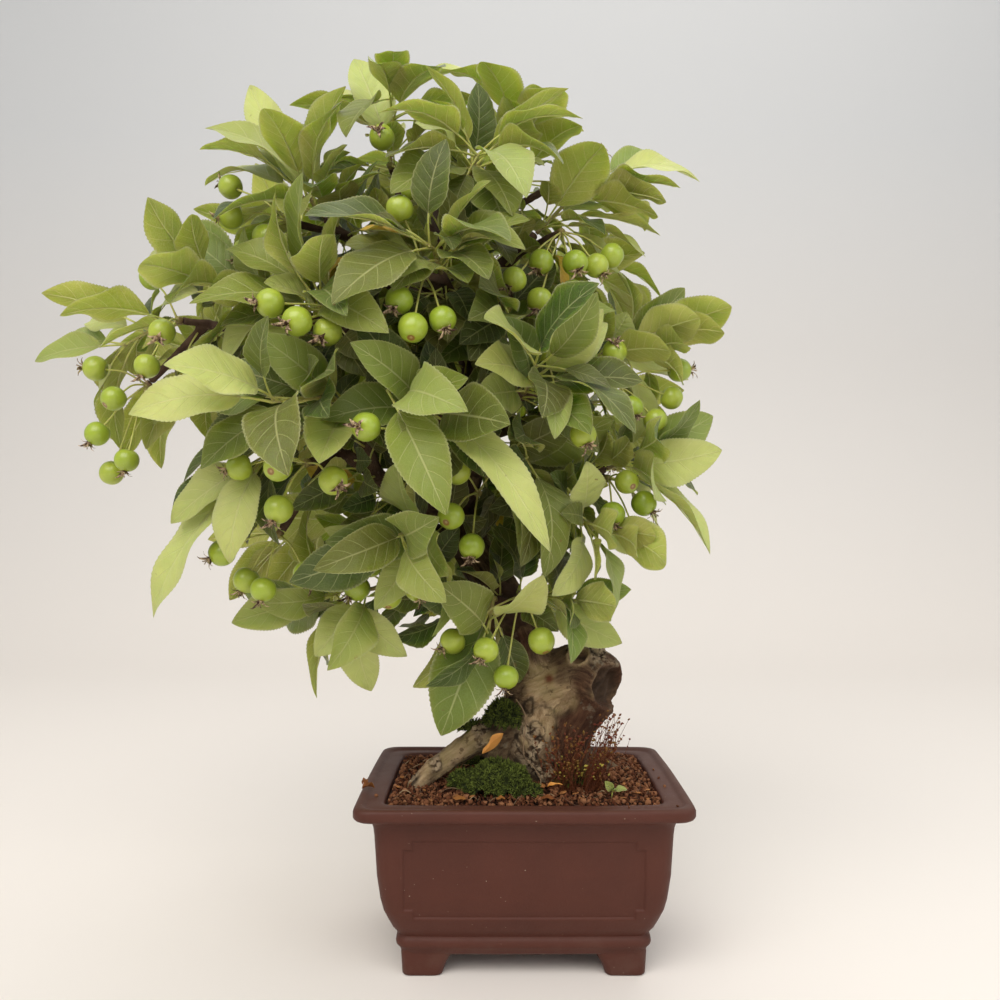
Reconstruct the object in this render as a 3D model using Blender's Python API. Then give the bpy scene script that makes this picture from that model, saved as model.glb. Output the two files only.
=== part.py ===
"""A hall crabapple bonsai with green fruit, in its oblong brown clay pot.

Metres, +Z up. The plant is laid out round the pot's middle on the table; the whole is then
moved so that the middle of its own box stands over the origin. Places in the lists below are
in millimetres: X to the right, Y away from the front, Z up from the table.
"""

import math
import random

import bmesh
import bpy
from mathutils import Vector
from mathutils.bvhtree import BVHTree

MM = 0.001
SEAT_GAP = 0.35 * MM
UP = Vector((0, 0, 1))

# The pot: 170 x 130 x 90 mm. Heights and how far each level lies inside the rim's outline.
POT_HALF = (85 * MM, 65 * MM)
RIM_CORNER = 8 * MM
BODY_CORNER = 7 * MM
CORNER_STEPS = 3
OUTER_LEVELS = [
    (11, 22.6), (14.6, 20.1), (19.6, 20.1), (21, 20.6), (30, 15.6), (41, 12.2),
    (53, 10.6), (77.5, 9.2), (82.4, 6.8), (83.8, 1.0), (85.4, 0), (88.6, 0), (90, 1.4),
]
RIM_TOP_LEVELS = [(90, 4.0), (89, 5.2), (89, 13.2)]
INNER_LEVELS = [(88, 14.5), (70, 16), (30, 21.5), (17, 26)]
PANEL_HEIGHTS = (32 * MM, 72 * MM)
PANEL_NOTCH = 4.5 * MM
PANEL_DEPTH = 1.0
PANEL_HALVES = (60 * MM, 39 * MM)
FOOT_MIDDLE = (47.8 * MM, 30.3 * MM)
FOOT_TOP = (14.5 * MM, 12 * MM)
FOOT_BOTTOM = (9.5 * MM, 8 * MM)
FOOT_SUNK = 12.5 * MM
DRAIN_RADIUS = 6 * MM
DRAIN_X = 28 * MM
SCREEN_HALF = 11 * MM
SCREEN_THICK = 1.2 * MM
SCREEN_BARS = 3
SCREEN_BAR = 1.6 * MM
DRAIN_SIDES = 12
DRILL_HEIGHTS = (8 * MM, 20 * MM)
FOOT_WAIST = (13 * MM, 11 * MM, 7 * MM)
FOOT_CORNERS = (4 * MM, 5 * MM)
PANEL_CORE = [(5, 22.6)] + OUTER_LEVELS[1:8] + [(86, 10)]
PANEL_REACH = 90 * MM

# The soil: its rim, its mound and the plain hole that the trunk stands in.
SOIL_EDGE = 86.2 * MM
SOIL_MOUND = 7.5 * MM
MOUND_MIDDLE = (10 * MM, 5 * MM)
MOUND_REACH = (48 * MM, 36 * MM)
TRUNK_HOLE = (6 * MM, 2 * MM)
HOLE_RADII = (31 * MM, 24 * MM)
HOLE_FLOOR = 66 * MM
HOLE_PLAY = 0.9 * MM
HOLE_SIDES = 20
HOLE_TOP = 120 * MM
SOIL_PLAY = 0.35
SOIL_INSET = 14.65
SOIL_SHARES = (1.0, 0.9, 0.75, 0.55, 0.35, 0.15)
SOIL_RIPPLE = (0.5 * MM, 7 * MM, 6 * MM)
POCKET_DEPTH = 1 * MM

# The trunk's foot: height, middle and radii of each section above the plain plug.
FOOT_SECTIONS = [
    (92, 6, 2, 30.5, 23.5), (99, 6, 1, 28, 22), (109, 6, 0, 24.5, 19),
    (122, 8, 0, 20.5, 17), (136, 9, -1, 17.5, 15), (150, 8, 0, 13.5, 13.5), (163, 2, 0, 12.6, 12.6),
]
FOOT_SIDES = 12
FOOT_LOBES = 0.08
LOBES_FROM = 95
LOBE_TURN = 18 * MM

# Each limb: places along it, with its radius there.
TRUNK = [
    (5, 0, 154, 13), (1, 0, 167, 12.6), (-12, 2, 189, 11.5), (-30, 0, 219, 10.5), (-33, -4, 244, 9.6),
    (-24, -4, 275, 8.6), (-24, 0, 306, 7.8), (-35, 4, 339, 6.6), (-45, 4, 388, 5),
]
STUMP = [(8, 0, 137, 14), (31, -4, 147, 17), (44, -13, 147, 15)]
HOLLOW_DEPTH = 9 * MM
HOLLOW_MOUTH = 2 * MM
HOLLOW_RADII = (5 * MM, 11 * MM)
SPUR_RADII = (2.6, 2.2)
ROOTS = {
    "left": [(2, -2, 124, 13), (-14, -8, 117, 9.5), (-33, -12, 106, 7), (-48, -15, 96, 6), (-58, -16, 86, 5)],
    "front": [(5, -8, 116, 12), (8, -20, 107, 9), (14, -30, 98, 7.5), (17, -36, 88, 6)],
    "stump": [(36, -5, 140, 11), (29, -3, 116, 10), (24, -2, 94, 11)],
    "right": [(20, 2, 104, 10), (42, 6, 93, 6.5), (57, 9, 85, 4)],
    "back": [(10, 8, 108, 11), (22, 26, 96, 7), (33, 39, 86, 4)],
    "back_left": [(-4, 8, 104, 10), (-24, 25, 92, 5.5), (-36, 33, 86, 3.6)],
}
BRANCHES = {
    "left_low": [(-5, 0, 167, 7), (-28, -8, 184, 6), (-53, -15, 201, 5), (-76, -22, 195, 3)],
    "left_mid": [(-31, -3, 233, 6), (-60, -25, 240, 5), (-76, -40, 254, 4), (-107, -50, 273, 2.6)],
    "left_front": [(-76, -40, 254, 4), (-81, -50, 275, 3), (-83, -55, 283, 2.4)],
    "left_high": [(-24, 0, 300, 6), (-66, -18, 314, 5), (-107, -28, 333, 4), (-119, -30, 340, 3)],
    "far_left": [(-107, -28, 333, 4), (-145, -24, 332, 3), (-175, -20, 336, 2.4)],
    "center_left": [(-86, -24, 324, 3.4), (-92, -42, 325, 2.6), (-94, -56, 328, 2.2)],
    "upper_left": [(-37, 4, 351, 5), (-67, -5, 371, 4), (-95, -20, 383, 3), (-105, -26, 391, 2.4)],
    "top_left": [(-46, 4, 384, 5), (-65, 0, 408, 4), (-72, 0, 429, 2.6)],
    "top_right": [(-46, 4, 384, 5), (-18, 6, 401, 4), (-4, 8, 419, 2.8)],
    "upper_right": [(-37, 4, 351, 5), (-6, 0, 377, 4), (8, -2, 390, 2.6)],
    "right_high": [(-24, 0, 308, 5), (5, 5, 317, 3.6), (37, 2, 321, 2.4)],
    "right_mid": [(-23, 0, 267, 5.5), (7, -4, 250, 4), (26, -2, 252, 3.4), (47, 0, 259, 2.6)],
    "right_low": [(13, -4, 250, 3.4), (22, -12, 242, 2.6), (28, -20, 233, 2.2)],
    "low_right": [(-8, -4, 181, 5), (3, -12, 188, 3)],
    "low_front": [(-10, -8, 184, 5), (-14, -24, 188, 2.8)],
    "center_low": [(-30, -2, 219, 5), (-42, -22, 220, 3.2), (-46, -32, 221, 2.4)],
    "front_center": [(-23, -5, 277, 5), (-37, -40, 279, 3.4), (-43, -57, 281, 2.4)],
    "front_right": [(-23, -5, 288, 5), (-9, -30, 292, 3.2), (-1, -50, 294, 2.4)],
    "front_upper": [(-35, 0, 342, 5), (-38, -35, 348, 3.4), (-41, -60, 352, 2.4)],
    "front_top": [(-45, 2, 385, 4.6), (-33, -20, 401, 3.4), (-27, -40, 408, 2.4)],
    "back_top": [(-46, 6, 385, 4.8), (-50, 32, 412, 3.4), (-52, 41, 423, 2.6)],
    "back_left_high": [(-37, 6, 349, 5), (-89, 35, 374, 3.6), (-116, 47, 386, 2.6)],
    "back_left": [(-24, 5, 303, 6), (-79, 30, 318, 4.6), (-132, 44, 323, 3.4), (-150, 48, 324, 2.6)],
    "back_center": [(-32, 6, 332, 5), (-54, 45, 344, 3.6), (-64, 64, 350, 2.6)],
    "back_right_high": [(-34, 6, 340, 5), (-4, 32, 364, 3.6), (12, 43, 375, 2.6)],
    "back_right": [(-23, 5, 278, 5), (15, 35, 292, 3.6), (32, 47, 299, 2.6)],
    "back_low": [(-32, 5, 233, 5), (-36, 32, 239, 3.6), (-39, 50, 242, 2.6)],
    "back_low_left": [(-30, 5, 222, 5), (-66, 27, 226, 3.6), (-88, 37, 229, 2.6)],
    "back_mid_left": [(-79, 30, 318, 4.4), (-107, 60, 302, 3.2), (-114, 67, 298, 2.6)],
    "inner_front_high": [(-30, 0, 322, 4), (-24, -14, 326, 2.6)],
    "inner_front_low": [(-27, -4, 262, 4), (-20, -17, 263, 2.6)],
    "inner_back_high": [(-34, 4, 334, 4), (-27, 19, 338, 2.6)],
    "inner_back_low": [(-28, 2, 260, 4), (-19, 17, 262, 2.6)],
}

# Each leafy spray grows on from the branch of the same name to a tip, with the leaf tips and
# widths that show from the front, and a number of further leaves placed by the rule.
SPRAYS = {
    "top_left": ((-72, -5, 465), 9,
                 [(-94, 0, 491, 25), (-124, 10, 469, 16), (-28, -12, 479, 20), (-92, -42, 429, 24)]),
    "top_right": ((-5, 0, 457), 8,
                  [(-41, -15, 467, 22), (11, 12, 476, 14), (37, 25, 461, 20), (-32, -40, 430, 24)]),
    "upper_right": ((39, -6, 416), 8,
                    [(76, 12, 442, 17), (100, -2, 421, 22), (68, -14, 375, 28), (67, 18, 358, 22)]),
    "upper_left": ((-115, -34, 399), 9,
                   [(-163, -44, 433, 29), (-149, -12, 469, 21), (-179, 2, 420, 22), (-90, -52, 420, 24)]),
    "left_high": ((-158, -42, 348), 7,
                  [(-140, -58, 375, 22), (-180, -34, 381, 20), (-232, -12, 352, 17), (-215, 0, 377, 20),
                   (-148, -60, 309, 24)]),
    "far_left": ((-216, -12, 326), 6,
                 [(-273, 0, 320, 20), (-269, 30, 332, 18), (-260, -12, 269, 22), (-216, -46, 319, 22),
                  (-249, 20, 343, 20)]),
    "left_front": ((-116, -92, 284), 8,
                   [(-174, -112, 277, 25), (-90, -116, 256, 28), (-148, -96, 254, 24),
                    (-119, -108, 312, 22)]),
    "left_mid": ((-133, -62, 254), 8,
                 [(-173, -64, 229, 22), (-187, -52, 182, 25), (-156, -52, 279, 20), (-140, -78, 210, 24)]),
    "left_low": ((-99, -26, 191), 7,
                 [(-152, -32, 177, 22), (-106, -42, 161, 23), (-80, -42, 143, 24), (-59, -34, 162, 20)]),
    "low_front": ((-18, -34, 171), 5,
                  [(-44, -58, 119, 34), (-41, -66, 199, 26), (5, -70, 200, 24)]),
    "low_right": ((21, -22, 187), 6,
                  [(52, -26, 165, 22), (25, -58, 160, 22), (18, -50, 216, 22)]),
    "right_mid": ((65, -6, 266), 8,
                  [(109, -12, 268, 27), (106, -34, 208, 31), (94, 4, 208, 22), (72, 45, 281, 22)]),
    "right_high": ((66, 0, 323), 8,
                   [(97, 14, 312, 22), (85, 30, 342, 20), (64, -14, 278, 20), (58, -10, 344, 20)]),
    "right_low": ((37, -28, 225), 6,
                  [(11, -52, 193, 24), (31, -62, 258, 20), (67, -20, 212, 20)]),
    "front_center": ((-63, -96, 289), 8,
                     [(-27, -118, 291, 22), (-35, -122, 233, 26), (10, -112, 218, 21),
                      (-77, -116, 308, 24)]),
    "front_right": ((5, -74, 304), 8,
                    [(29, -96, 270, 24), (-10, -92, 322, 22), (26, -66, 324, 20), (-22, -98, 286, 22)]),
    "front_upper": ((-45, -86, 358), 8,
                    [(-68, -108, 337, 24), (-26, -112, 335, 20), (1, -92, 369, 22), (-84, -92, 359, 24)]),
    "front_top": ((-23, -62, 410), 8,
                  [(-62, -92, 382, 29), (-6, -90, 372, 24), (10, -62, 406, 20), (-54, -60, 428, 22)]),
    "center_left": ((-100, -74, 336), 8,
                    [(-65, -104, 313, 24), (-118, -96, 338, 22), (-122, -92, 302, 22)]),
    "center_low": ((-61, -64, 223), 8,
                   [(-92, -86, 220, 24), (-37, -86, 205, 22), (-70, -66, 189, 20)]),
    "inner_front_high": ((-6, -46, 334), 8, []),
    "inner_front_low": ((2, -46, 262), 8, []),
    "inner_back_high": ((-14, 52, 346), 8, []),
    "inner_back_low": ((2, 48, 266), 8, []),
    "back_top": ((-58, 72, 450), 11, []),
    "back_left_high": ((-177, 78, 405), 11, []),
    "back_left": ((-213, 62, 321), 11, []),
    "back_center": ((-88, 122, 366), 11, []),
    "back_right_high": ((62, 82, 396), 11, []),
    "back_right": ((75, 84, 306), 11, []),
    "back_low": ((-54, 102, 240), 11, []),
    "back_low_left": ((-149, 68, 221), 11, []),
    "back_mid_left": ((-155, 112, 293), 11, []),
}

# Each fruit bunch: where its spur leaves the branch, where the spur ends, and its fruits.
BUNCHES = {
    "upper_right": ((-5, 0, 378), (19, -28, 382),
                    [(9, -45, 362), (26, -50, 360), (38, -38, 362), (47, -28, 370), (25, -45, 346),
                     (8, -50, 341), (-5, -52, 351)]),
    "top_right": ((-9, 7, 405), (18, -12, 414), [(37, -15, 428), (-16, -38, 400)]),
    "upper_left": ((-92, -20, 382), (-118, -42, 383),
                   [(-148, -50, 384), (-129, -56, 371), (-143, -42, 368), (-155, -28, 407)]),
    "center_left": ((-92, -42, 325), (-82, -74, 326),
                    [(-116, -98, 328), (-102, -106, 318), (-90, -98, 315)]),
    "front_upper": ((-40, -52, 351), (-47, -74, 347),
                    [(-58, -95, 330), (-51, -102, 316), (-38, -96, 321), (-59, -84, 376)]),
    "far_left": ((-167, -21, 335), (-179, -30, 335), [(-193, -42, 309), (-181, -54, 324), (-194, -34, 357)]),
    "tip_left": ((-170, -20, 335), (-201, -16, 305),
                 [(-230, -18, 312), (-215, -30, 294), (-226, -24, 276), (-211, -22, 262), (-224, -10, 256)]),
    "front_center": ((-41, -52, 281), (-52, -70, 268), [(-71, -108, 271), (-49, -104, 262)]),
    "left_low": ((-92, -45, 264), (-104, -68, 258),
                 [(-135, -78, 255), (-115, -84, 235), (-113, -94, 254), (-88, -92, 248)]),
    "right_high": ((24, 4, 319.5), (48, -10, 306),
                   [(87, -6, 313), (82, -10, 297), (72, -16, 284), (58, -24, 290), (49, -24, 320)]),
    "front_right": ((-6, -38, 293), (14, -48, 295), [(28, -70, 271), (8, -66, 314)]),
    "right_mid": ((38, -1, 256), (45, -16, 253),
                  [(54, -34, 250), (46, -38, 233), (64, -26, 239), (61, -26, 220)]),
    "middle": ((-32, -4, 239), (-24, -32, 244),
               [(-33, -60, 254), (-9, -50, 258), (-36, -62, 232), (-26, -56, 217)]),
    "low_left": ((-55, -16, 200), (-65, -34, 213),
                 [(-76, -56, 208), (-53, -54, 196), (-67, -54, 192), (-84, -48, 196), (-96, -42, 204)]),
    "left_under": ((-96, -46, 266), (-122, -48, 225),
                   [(-149, -58, 214), (-139, -50, 200), (-128, -60, 196), (-106, -64, 204)]),
    "low_front": ((-8, -8, 182), (-2, -27, 190),
                  [(-36, -46, 169), (-19, -56, 166), (-9, -46, 151), (9, -44, 169)]),
    "top_left": ((-69, 0, 420), (-71, -16, 422), [(-74, -34, 431), (-58, -30, 404)]),
    "back_top": ((-50, 32, 412), (-34, 56, 418), [(-16, 78, 408), (-34, 88, 400), (-54, 82, 402)]),
    "back_left": ((-140, 45, 323), (-150, 66, 316), [(-178, 80, 300), (-158, 92, 292), (-136, 88, 302)]),
    "back_center": ((-60, 55, 347), (-48, 78, 344), [(-30, 100, 330), (-48, 108, 322), (-66, 100, 330)]),
    "back_right": ((20, 39, 293), (34, 62, 286), [(56, 78, 268), (36, 90, 264), (18, 80, 272)]),
}

# Twigs: straight on from the branch first, then bowed upwards on the way to the tip.
TWIG_RADII = (1.5 * MM, 1.3 * MM, 1.1 * MM, 0.8 * MM)
TWIG_STRAIGHT = 5 * MM
TWIG_BOW_AT = 0.55
TWIG_BOW = 2.5 * MM
THREE_SIDED = -1

# Leaves: the stalk, then the blade with its outline, fold along the rib, arch and waved edge.
STALK = 14 * MM
STALK_RADIUS = 0.5 * MM
LEAF_LENGTH = (40 * MM, 54 * MM)
LEAF_WIDTH_SHARE = (0.5, 0.6)
LEAF_THICK = 1.2 * MM
LEAF_FOLD = 0.3
LEAF_ARCH = 0.1
LEAF_WAVE = 0.16
WAVES = 9.5
WAVE_SHIFT = 1.9
OUTLINE_BASE = 0.62
OUTLINE_TIP = 0.85
OUTLINE_PEAK = 0.368
SHOWN_STATIONS = ((0.12, 0.36, 0.64, 0.86), (0.33, 0.67))
PLAIN_STATIONS = ((0.16, 0.5, 0.82), (0.5,))
CLEARANCE = 0.7 * MM
OWN_FREE_SHARE = -0.55
SAME_POINT = 0.000001 * MM

# Which way a blade's face turns: up, outwards, to the front and by chance.
FACE_UP = 0.55
FACE_OUT = 0.75
FACE_FRONT = 0.6
FACE_CHANCE = 0.35
FOLD_SPREAD = (0.5, 1.3)
ARCH_SPREAD = (0.4, 1.6)
WAVE_SPREAD = (0.6, 1.4)

# The rule for the other leaves: round the twig by the golden angle, from a bare base on.
GOLDEN_ANGLE = 2.4
ANGLE_STEP = 0.9
ANGLE_CHANCE = 0.4
TWIG_BARE = 0.25
HEADING_ROUND = 0.85
HEADING_AHEAD = 0.35
HEADING_OUT = 0.4
HEADING_DOWN = (0.05, 0.6)
SHORTER_EACH_TIME = 0.015

# The leaves that show spring from one of these shares of their twig.
SHOWN_SHARES = [0.3, 0.45, 0.6, 0.75, 0.9, 1.0]
SHOWN_REACH = 1.9
SHOWN_NUDGE = 1.4 * MM

# Fruit: round, each on a thin arched stalk that starts in its spur's knob.
FRUIT_RADIUS = 6.6 * MM
FRUIT_CORNERS = 1.12
FRUIT_ROOM = 1.1
FRUIT_NUDGE = 0.8 * MM
PEDICEL_RADIUS = 0.6 * MM
PEDICEL_ARCH = 3 * MM
KNOB_RADII = (2.0 * MM, 2.3 * MM)
KNOB_LENGTH = 3.6 * MM
KNOB_ROOT = 0.6

# Each leaf and fruit has its own seed, and a number of tries to find a free place.
ATTEMPTS = 26
SHOWN_SEED = 7000
RULED_SEED = 9000
FRUIT_SEED = 500
LEAVES_A_SPRAY = 40
FIRST_RULED = 20
FRUITS_A_BUNCH = 20

# The crown: its middle, from which leaves turn outwards, and the outline they stay inside.
CROWN_MIDDLE = (-60 * MM, 0, 315 * MM)
CROWN_HEART = (-74 * MM, 4 * MM, 306 * MM)
CROWN_REACH = (190 * MM, 148 * MM, 173 * MM)
CROWN_ROUNDNESS = 2.3

# The share of a union's triangles that is kept, and what counts as flat.
KEEP_SPRAY = 0.62
KEEP_FRUIT = 0.7
KEEP_WOOD = 0.56
FLAT_ANGLE = math.radians(0.5)
WELD = 0.01 * MM

BLACK_PLASTIC = (0.02, 0.02, 0.02)
GRANULES = (0.16, 0.05, 0.03)
BARK = (0.23, 0.16, 0.12)
FRUIT_GREEN = (0.28, 0.4, 0.06)
LEAF_GREEN = (0.13, 0.22, 0.05)
CLAY = (0.085, 0.036, 0.026)
PARTS = bpy.data.collections.new("hall_crabapple_bonsai")
CUTTERS = bpy.data.collections.new("cutters")


def clear_scene():
    for obj in list(bpy.data.objects):
        bpy.data.objects.remove(obj)


def finish_of(name, colour, roughness):
    material = bpy.data.materials.new(name)
    material.use_nodes = True
    surface = material.node_tree.nodes["Principled BSDF"]
    surface.inputs["Base Color"].default_value = (*colour, 1)
    surface.inputs["Roughness"].default_value = roughness
    return material


def place(spot):
    """A list's place in millimetres as a point in metres."""
    return Vector(spot[:3]) * MM


def object_from(name, verts, faces, home):
    """A mesh object with its faces turned outwards."""
    mesh = bpy.data.meshes.new(name)
    mesh.from_pydata([tuple(v) for v in verts], [], faces)
    shape = bmesh.new()
    shape.from_mesh(mesh)
    bmesh.ops.recalc_face_normals(shape, faces=shape.faces)
    shape.to_mesh(mesh)
    shape.free()
    obj = bpy.data.objects.new(name, mesh)
    home.objects.link(obj)
    return obj


def evaluated_mesh(obj):
    bpy.context.view_layer.update()
    graph = bpy.context.evaluated_depsgraph_get()
    return bpy.data.meshes.new_from_object(obj.evaluated_get(graph))


def settle(obj):
    """Applies an object's modifiers."""
    mesh = evaluated_mesh(obj)
    obj.modifiers.clear()
    obj.data = mesh


def boolean(obj, operation, other):
    modifier = obj.modifiers.new(operation.lower(), "BOOLEAN")
    modifier.operation = operation
    modifier.solver = "EXACT"
    if isinstance(other, bpy.types.Collection):
        modifier.operand_type = "COLLECTION"
        modifier.collection = other
    else:
        modifier.object = other


def as_cutter(obj):
    obj.hide_render = True
    obj.display_type = "WIRE"


def largest_body(obj):
    """Drops loose scraps and fills sealed hollows: only the biggest outer shell stays."""
    shape = bmesh.new()
    shape.from_mesh(obj.data)
    bmesh.ops.triangulate(shape, faces=shape.faces)
    waiting = set(shape.faces)
    shells = []
    while waiting:
        front = [waiting.pop()]
        shell = []
        while front:
            face = front.pop()
            shell.append(face)
            for edge in face.edges:
                for near in edge.link_faces:
                    if near in waiting:
                        waiting.discard(near)
                        front.append(near)
        volume = sum(f.verts[0].co.dot(f.verts[1].co.cross(f.verts[2].co)) for f in shell)
        shells.append((volume, shell))
    shells.sort(key=lambda pair: pair[0])
    for _, shell in shells[:-1]:
        bmesh.ops.delete(shape, geom=shell, context="FACES")
    loose = [v for v in shape.verts if not v.link_faces]
    bmesh.ops.delete(shape, geom=loose, context="VERTS")
    shape.to_mesh(obj.data)
    shape.free()


def thin_out(obj, share):
    """Collapses the smallest facets that a union leaves round its seams."""
    modifier = obj.modifiers.new("thin_out", "DECIMATE")
    modifier.ratio = share
    modifier.use_collapse_triangulate = True
    settle(obj)


def fuse(name, pieces, home, finish, keep=1.0):
    """One body from overlapping pieces: a single union of the first with all the others."""
    base = pieces[0]
    others = bpy.data.collections.new(name + "_others")
    bpy.context.scene.collection.children.link(others)
    for piece in pieces[1:]:
        for owner in list(piece.users_collection):
            owner.objects.unlink(piece)
        others.objects.link(piece)
    base.name = name
    if base.name not in home.objects:
        home.objects.link(base)
    boolean(base, "UNION", others)
    settle(base)
    for piece in list(others.objects):
        bpy.data.objects.remove(piece)
    bpy.data.collections.remove(others)
    largest_body(base)
    if keep < 1:
        thin_out(base, keep)
    base.data.materials.clear()
    base.data.materials.append(finish)
    return base


def three_sided_profile():
    """The outline that a thin stalk is drawn along its route with."""
    curve = bpy.data.curves.new("stalk_profile", "CURVE")
    spline = curve.splines.new("POLY")
    spline.points.add(2)
    for i, point in enumerate(spline.points):
        point.co = (math.cos(i * 2 * math.pi / 3), math.sin(i * 2 * math.pi / 3), 0, 1)
    spline.use_cyclic_u = True
    profile = bpy.data.objects.new("stalk_profile", curve)
    CUTTERS.objects.link(profile)
    as_cutter(profile)
    return profile


def tube(name, route, radii, detail, home):
    """A limb along a route: a poly curve with filled caps, made a welded mesh."""
    curve = bpy.data.curves.new(name, "CURVE")
    curve.dimensions = "3D"
    if detail == THREE_SIDED:
        curve.bevel_mode = "OBJECT"
        curve.bevel_object = bpy.data.objects["stalk_profile"]
    else:
        curve.bevel_depth = 1.0
        curve.bevel_resolution = detail
    curve.use_fill_caps = True
    spline = curve.splines.new("POLY")
    spline.points.add(len(route) - 1)
    for point, where, radius in zip(spline.points, route, radii):
        point.co = (*where, 1)
        point.radius = radius
    guide = bpy.data.objects.new(name + "_guide", curve)
    home.objects.link(guide)
    mesh = evaluated_mesh(guide)
    shape = bmesh.new()
    shape.from_mesh(mesh)
    bmesh.ops.remove_doubles(shape, verts=shape.verts, dist=WELD)
    bmesh.ops.recalc_face_normals(shape, faces=shape.faces)
    shape.to_mesh(mesh)
    shape.free()
    mesh.materials.clear()
    obj = bpy.data.objects.new(name, mesh)
    obj.matrix_world = guide.matrix_world
    home.objects.link(obj)
    bpy.data.objects.remove(guide)
    return obj


def limb(name, spots, detail, home):
    """A limb from a list of places in millimetres with a radius each."""
    return tube(name, [place(s) for s in spots], [s[3] * MM for s in spots], detail, home)


def rounded_ring(half_x, half_y, corner, height, middle=(0, 0)):
    """A rounded rectangle's outline at one height."""
    ring = []
    for turn, (sx, sy) in enumerate(((1, 1), (-1, 1), (-1, -1), (1, -1))):
        for step in range(CORNER_STEPS + 1):
            angle = (turn + step / CORNER_STEPS) * math.pi / 2
            x = middle[0] + sx * (half_x - corner) + corner * math.cos(angle)
            y = middle[1] + sy * (half_y - corner) + corner * math.sin(angle)
            ring.append((x, y, height))
    return ring


def loft(name, rings, home):
    """A closed body through rings of equal count, capped at both ends."""
    count = len(rings[0])
    verts = [point for ring in rings for point in ring]
    faces = [tuple(range(count)), tuple(range(len(verts) - count, len(verts)))]
    for level in range(len(rings) - 1):
        low = level * count
        for i in range(count):
            j = (i + 1) % count
            faces.append((low + i, low + j, low + count + j, low + count + i))
    return object_from(name, verts, faces, home)


def split_faces(obj, merge_flats=False):
    """Triangles, so that two bodies with one surface are split alike."""
    shape = bmesh.new()
    shape.from_mesh(obj.data)
    if merge_flats:
        bmesh.ops.dissolve_limit(shape, angle_limit=FLAT_ANGLE, verts=shape.verts, edges=shape.edges)
    bmesh.ops.triangulate(shape, faces=shape.faces)
    shape.to_mesh(obj.data)
    shape.free()


def pot_rings(levels, extra=0.0):
    """The pot's outline at each level, its corners tighter below the rim."""
    rings = []
    for height, inset in levels:
        inward = (inset + extra) * MM
        blend = min(inset / 10, 1)
        corner = RIM_CORNER + (BODY_CORNER - RIM_CORNER) * blend
        rings.append(rounded_ring(POT_HALF[0] - inward, POT_HALF[1] - inward, corner, height * MM))
    return rings


def panel_cutter(name, half, along_x):
    """A slab with notched corners, hollowed by the pot's own shape so that it cuts one depth."""
    low, high = PANEL_HEIGHTS
    inner = half - PANEL_NOTCH
    upper = high - PANEL_NOTCH
    lower = low + PANEL_NOTCH
    right = [(inner, low), (inner, lower), (half, lower), (half, upper), (inner, upper), (inner, high)]
    outline = right + [(-across, height) for across, height in reversed(right)]
    if along_x:
        ends = [[(x, y, z) for y, z in outline] for x in (-PANEL_REACH, PANEL_REACH)]
    else:
        ends = [[(x, y, z) for x, z in outline] for y in (-PANEL_REACH, PANEL_REACH)]
    slab = loft(name, ends, CUTTERS)
    core = loft(name + "_core", pot_rings(PANEL_CORE, PANEL_DEPTH), CUTTERS)
    boolean(slab, "DIFFERENCE", core)
    settle(slab)
    bpy.data.objects.remove(core)
    as_cutter(slab)
    return slab


def prism(name, outline, heights, home):
    """An upright body with one outline between two heights."""
    return loft(name, [[(x, y, z) for x, y in outline] for z in heights], home)


def oval(middle, radii, sides):
    turns = [2 * math.pi * i / sides for i in range(sides)]
    return [(middle[0] + radii[0] * math.cos(t), middle[1] + radii[1] * math.sin(t)) for t in turns]


def oblong(middle, half):
    corners = ((1, 1), (-1, 1), (-1, -1), (1, -1))
    return [(middle[0] + a * half[0], middle[1] + b * half[1]) for a, b in corners]


def build_foot(middle):
    top = rounded_ring(*FOOT_TOP, FOOT_CORNERS[1], FOOT_SUNK, middle)
    waist = rounded_ring(*FOOT_WAIST[:2], FOOT_CORNERS[1], FOOT_WAIST[2], middle)
    low = rounded_ring(*FOOT_BOTTOM, FOOT_CORNERS[0], 0, middle)
    return loft("foot", [low, waist, top], PARTS)


def build_pot():
    pieces = [loft("pot", pot_rings(OUTER_LEVELS + RIM_TOP_LEVELS + INNER_LEVELS), PARTS)]
    for sx in (-1, 1):
        for sy in (-1, 1):
            pieces.append(build_foot((sx * FOOT_MIDDLE[0], sy * FOOT_MIDDLE[1])))
    pot = fuse("pot", pieces, PARTS, finish_of("clay", CLAY, 0.6))
    boolean(pot, "DIFFERENCE", panel_cutter("panel_front_back", PANEL_HALVES[0], False))
    boolean(pot, "DIFFERENCE", panel_cutter("panel_sides", PANEL_HALVES[1], True))
    for x in (-DRAIN_X, DRAIN_X):
        outline = oval((x, 0), (DRAIN_RADIUS, DRAIN_RADIUS), DRAIN_SIDES)
        drill = prism("drain_drill", outline, DRILL_HEIGHTS, CUTTERS)
        as_cutter(drill)
        boolean(pot, "DIFFERENCE", drill)
    settle(pot)
    split_faces(pot, True)


def build_screen(name, x):
    """A drain screen: crossed bars on the pot's floor over the hole."""
    low = INNER_LEVELS[-1][0] * MM + SEAT_GAP
    bars = []
    for along_x in (True, False):
        for i in range(SCREEN_BARS):
            offset = SCREEN_HALF * (2 * i / (SCREEN_BARS - 1) - 1)
            half = (SCREEN_HALF + SCREEN_BAR / 2, SCREEN_BAR / 2)
            if not along_x:
                half = half[::-1]
            middle = (x, offset) if along_x else (x + offset, 0)
            bars.append(prism("bar", oblong(middle, half), (low, low + SCREEN_THICK), PARTS))
    screen = fuse(name, bars, PARTS, finish_of("black_plastic", BLACK_PLASTIC, 0.6))
    split_faces(screen, True)


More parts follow.
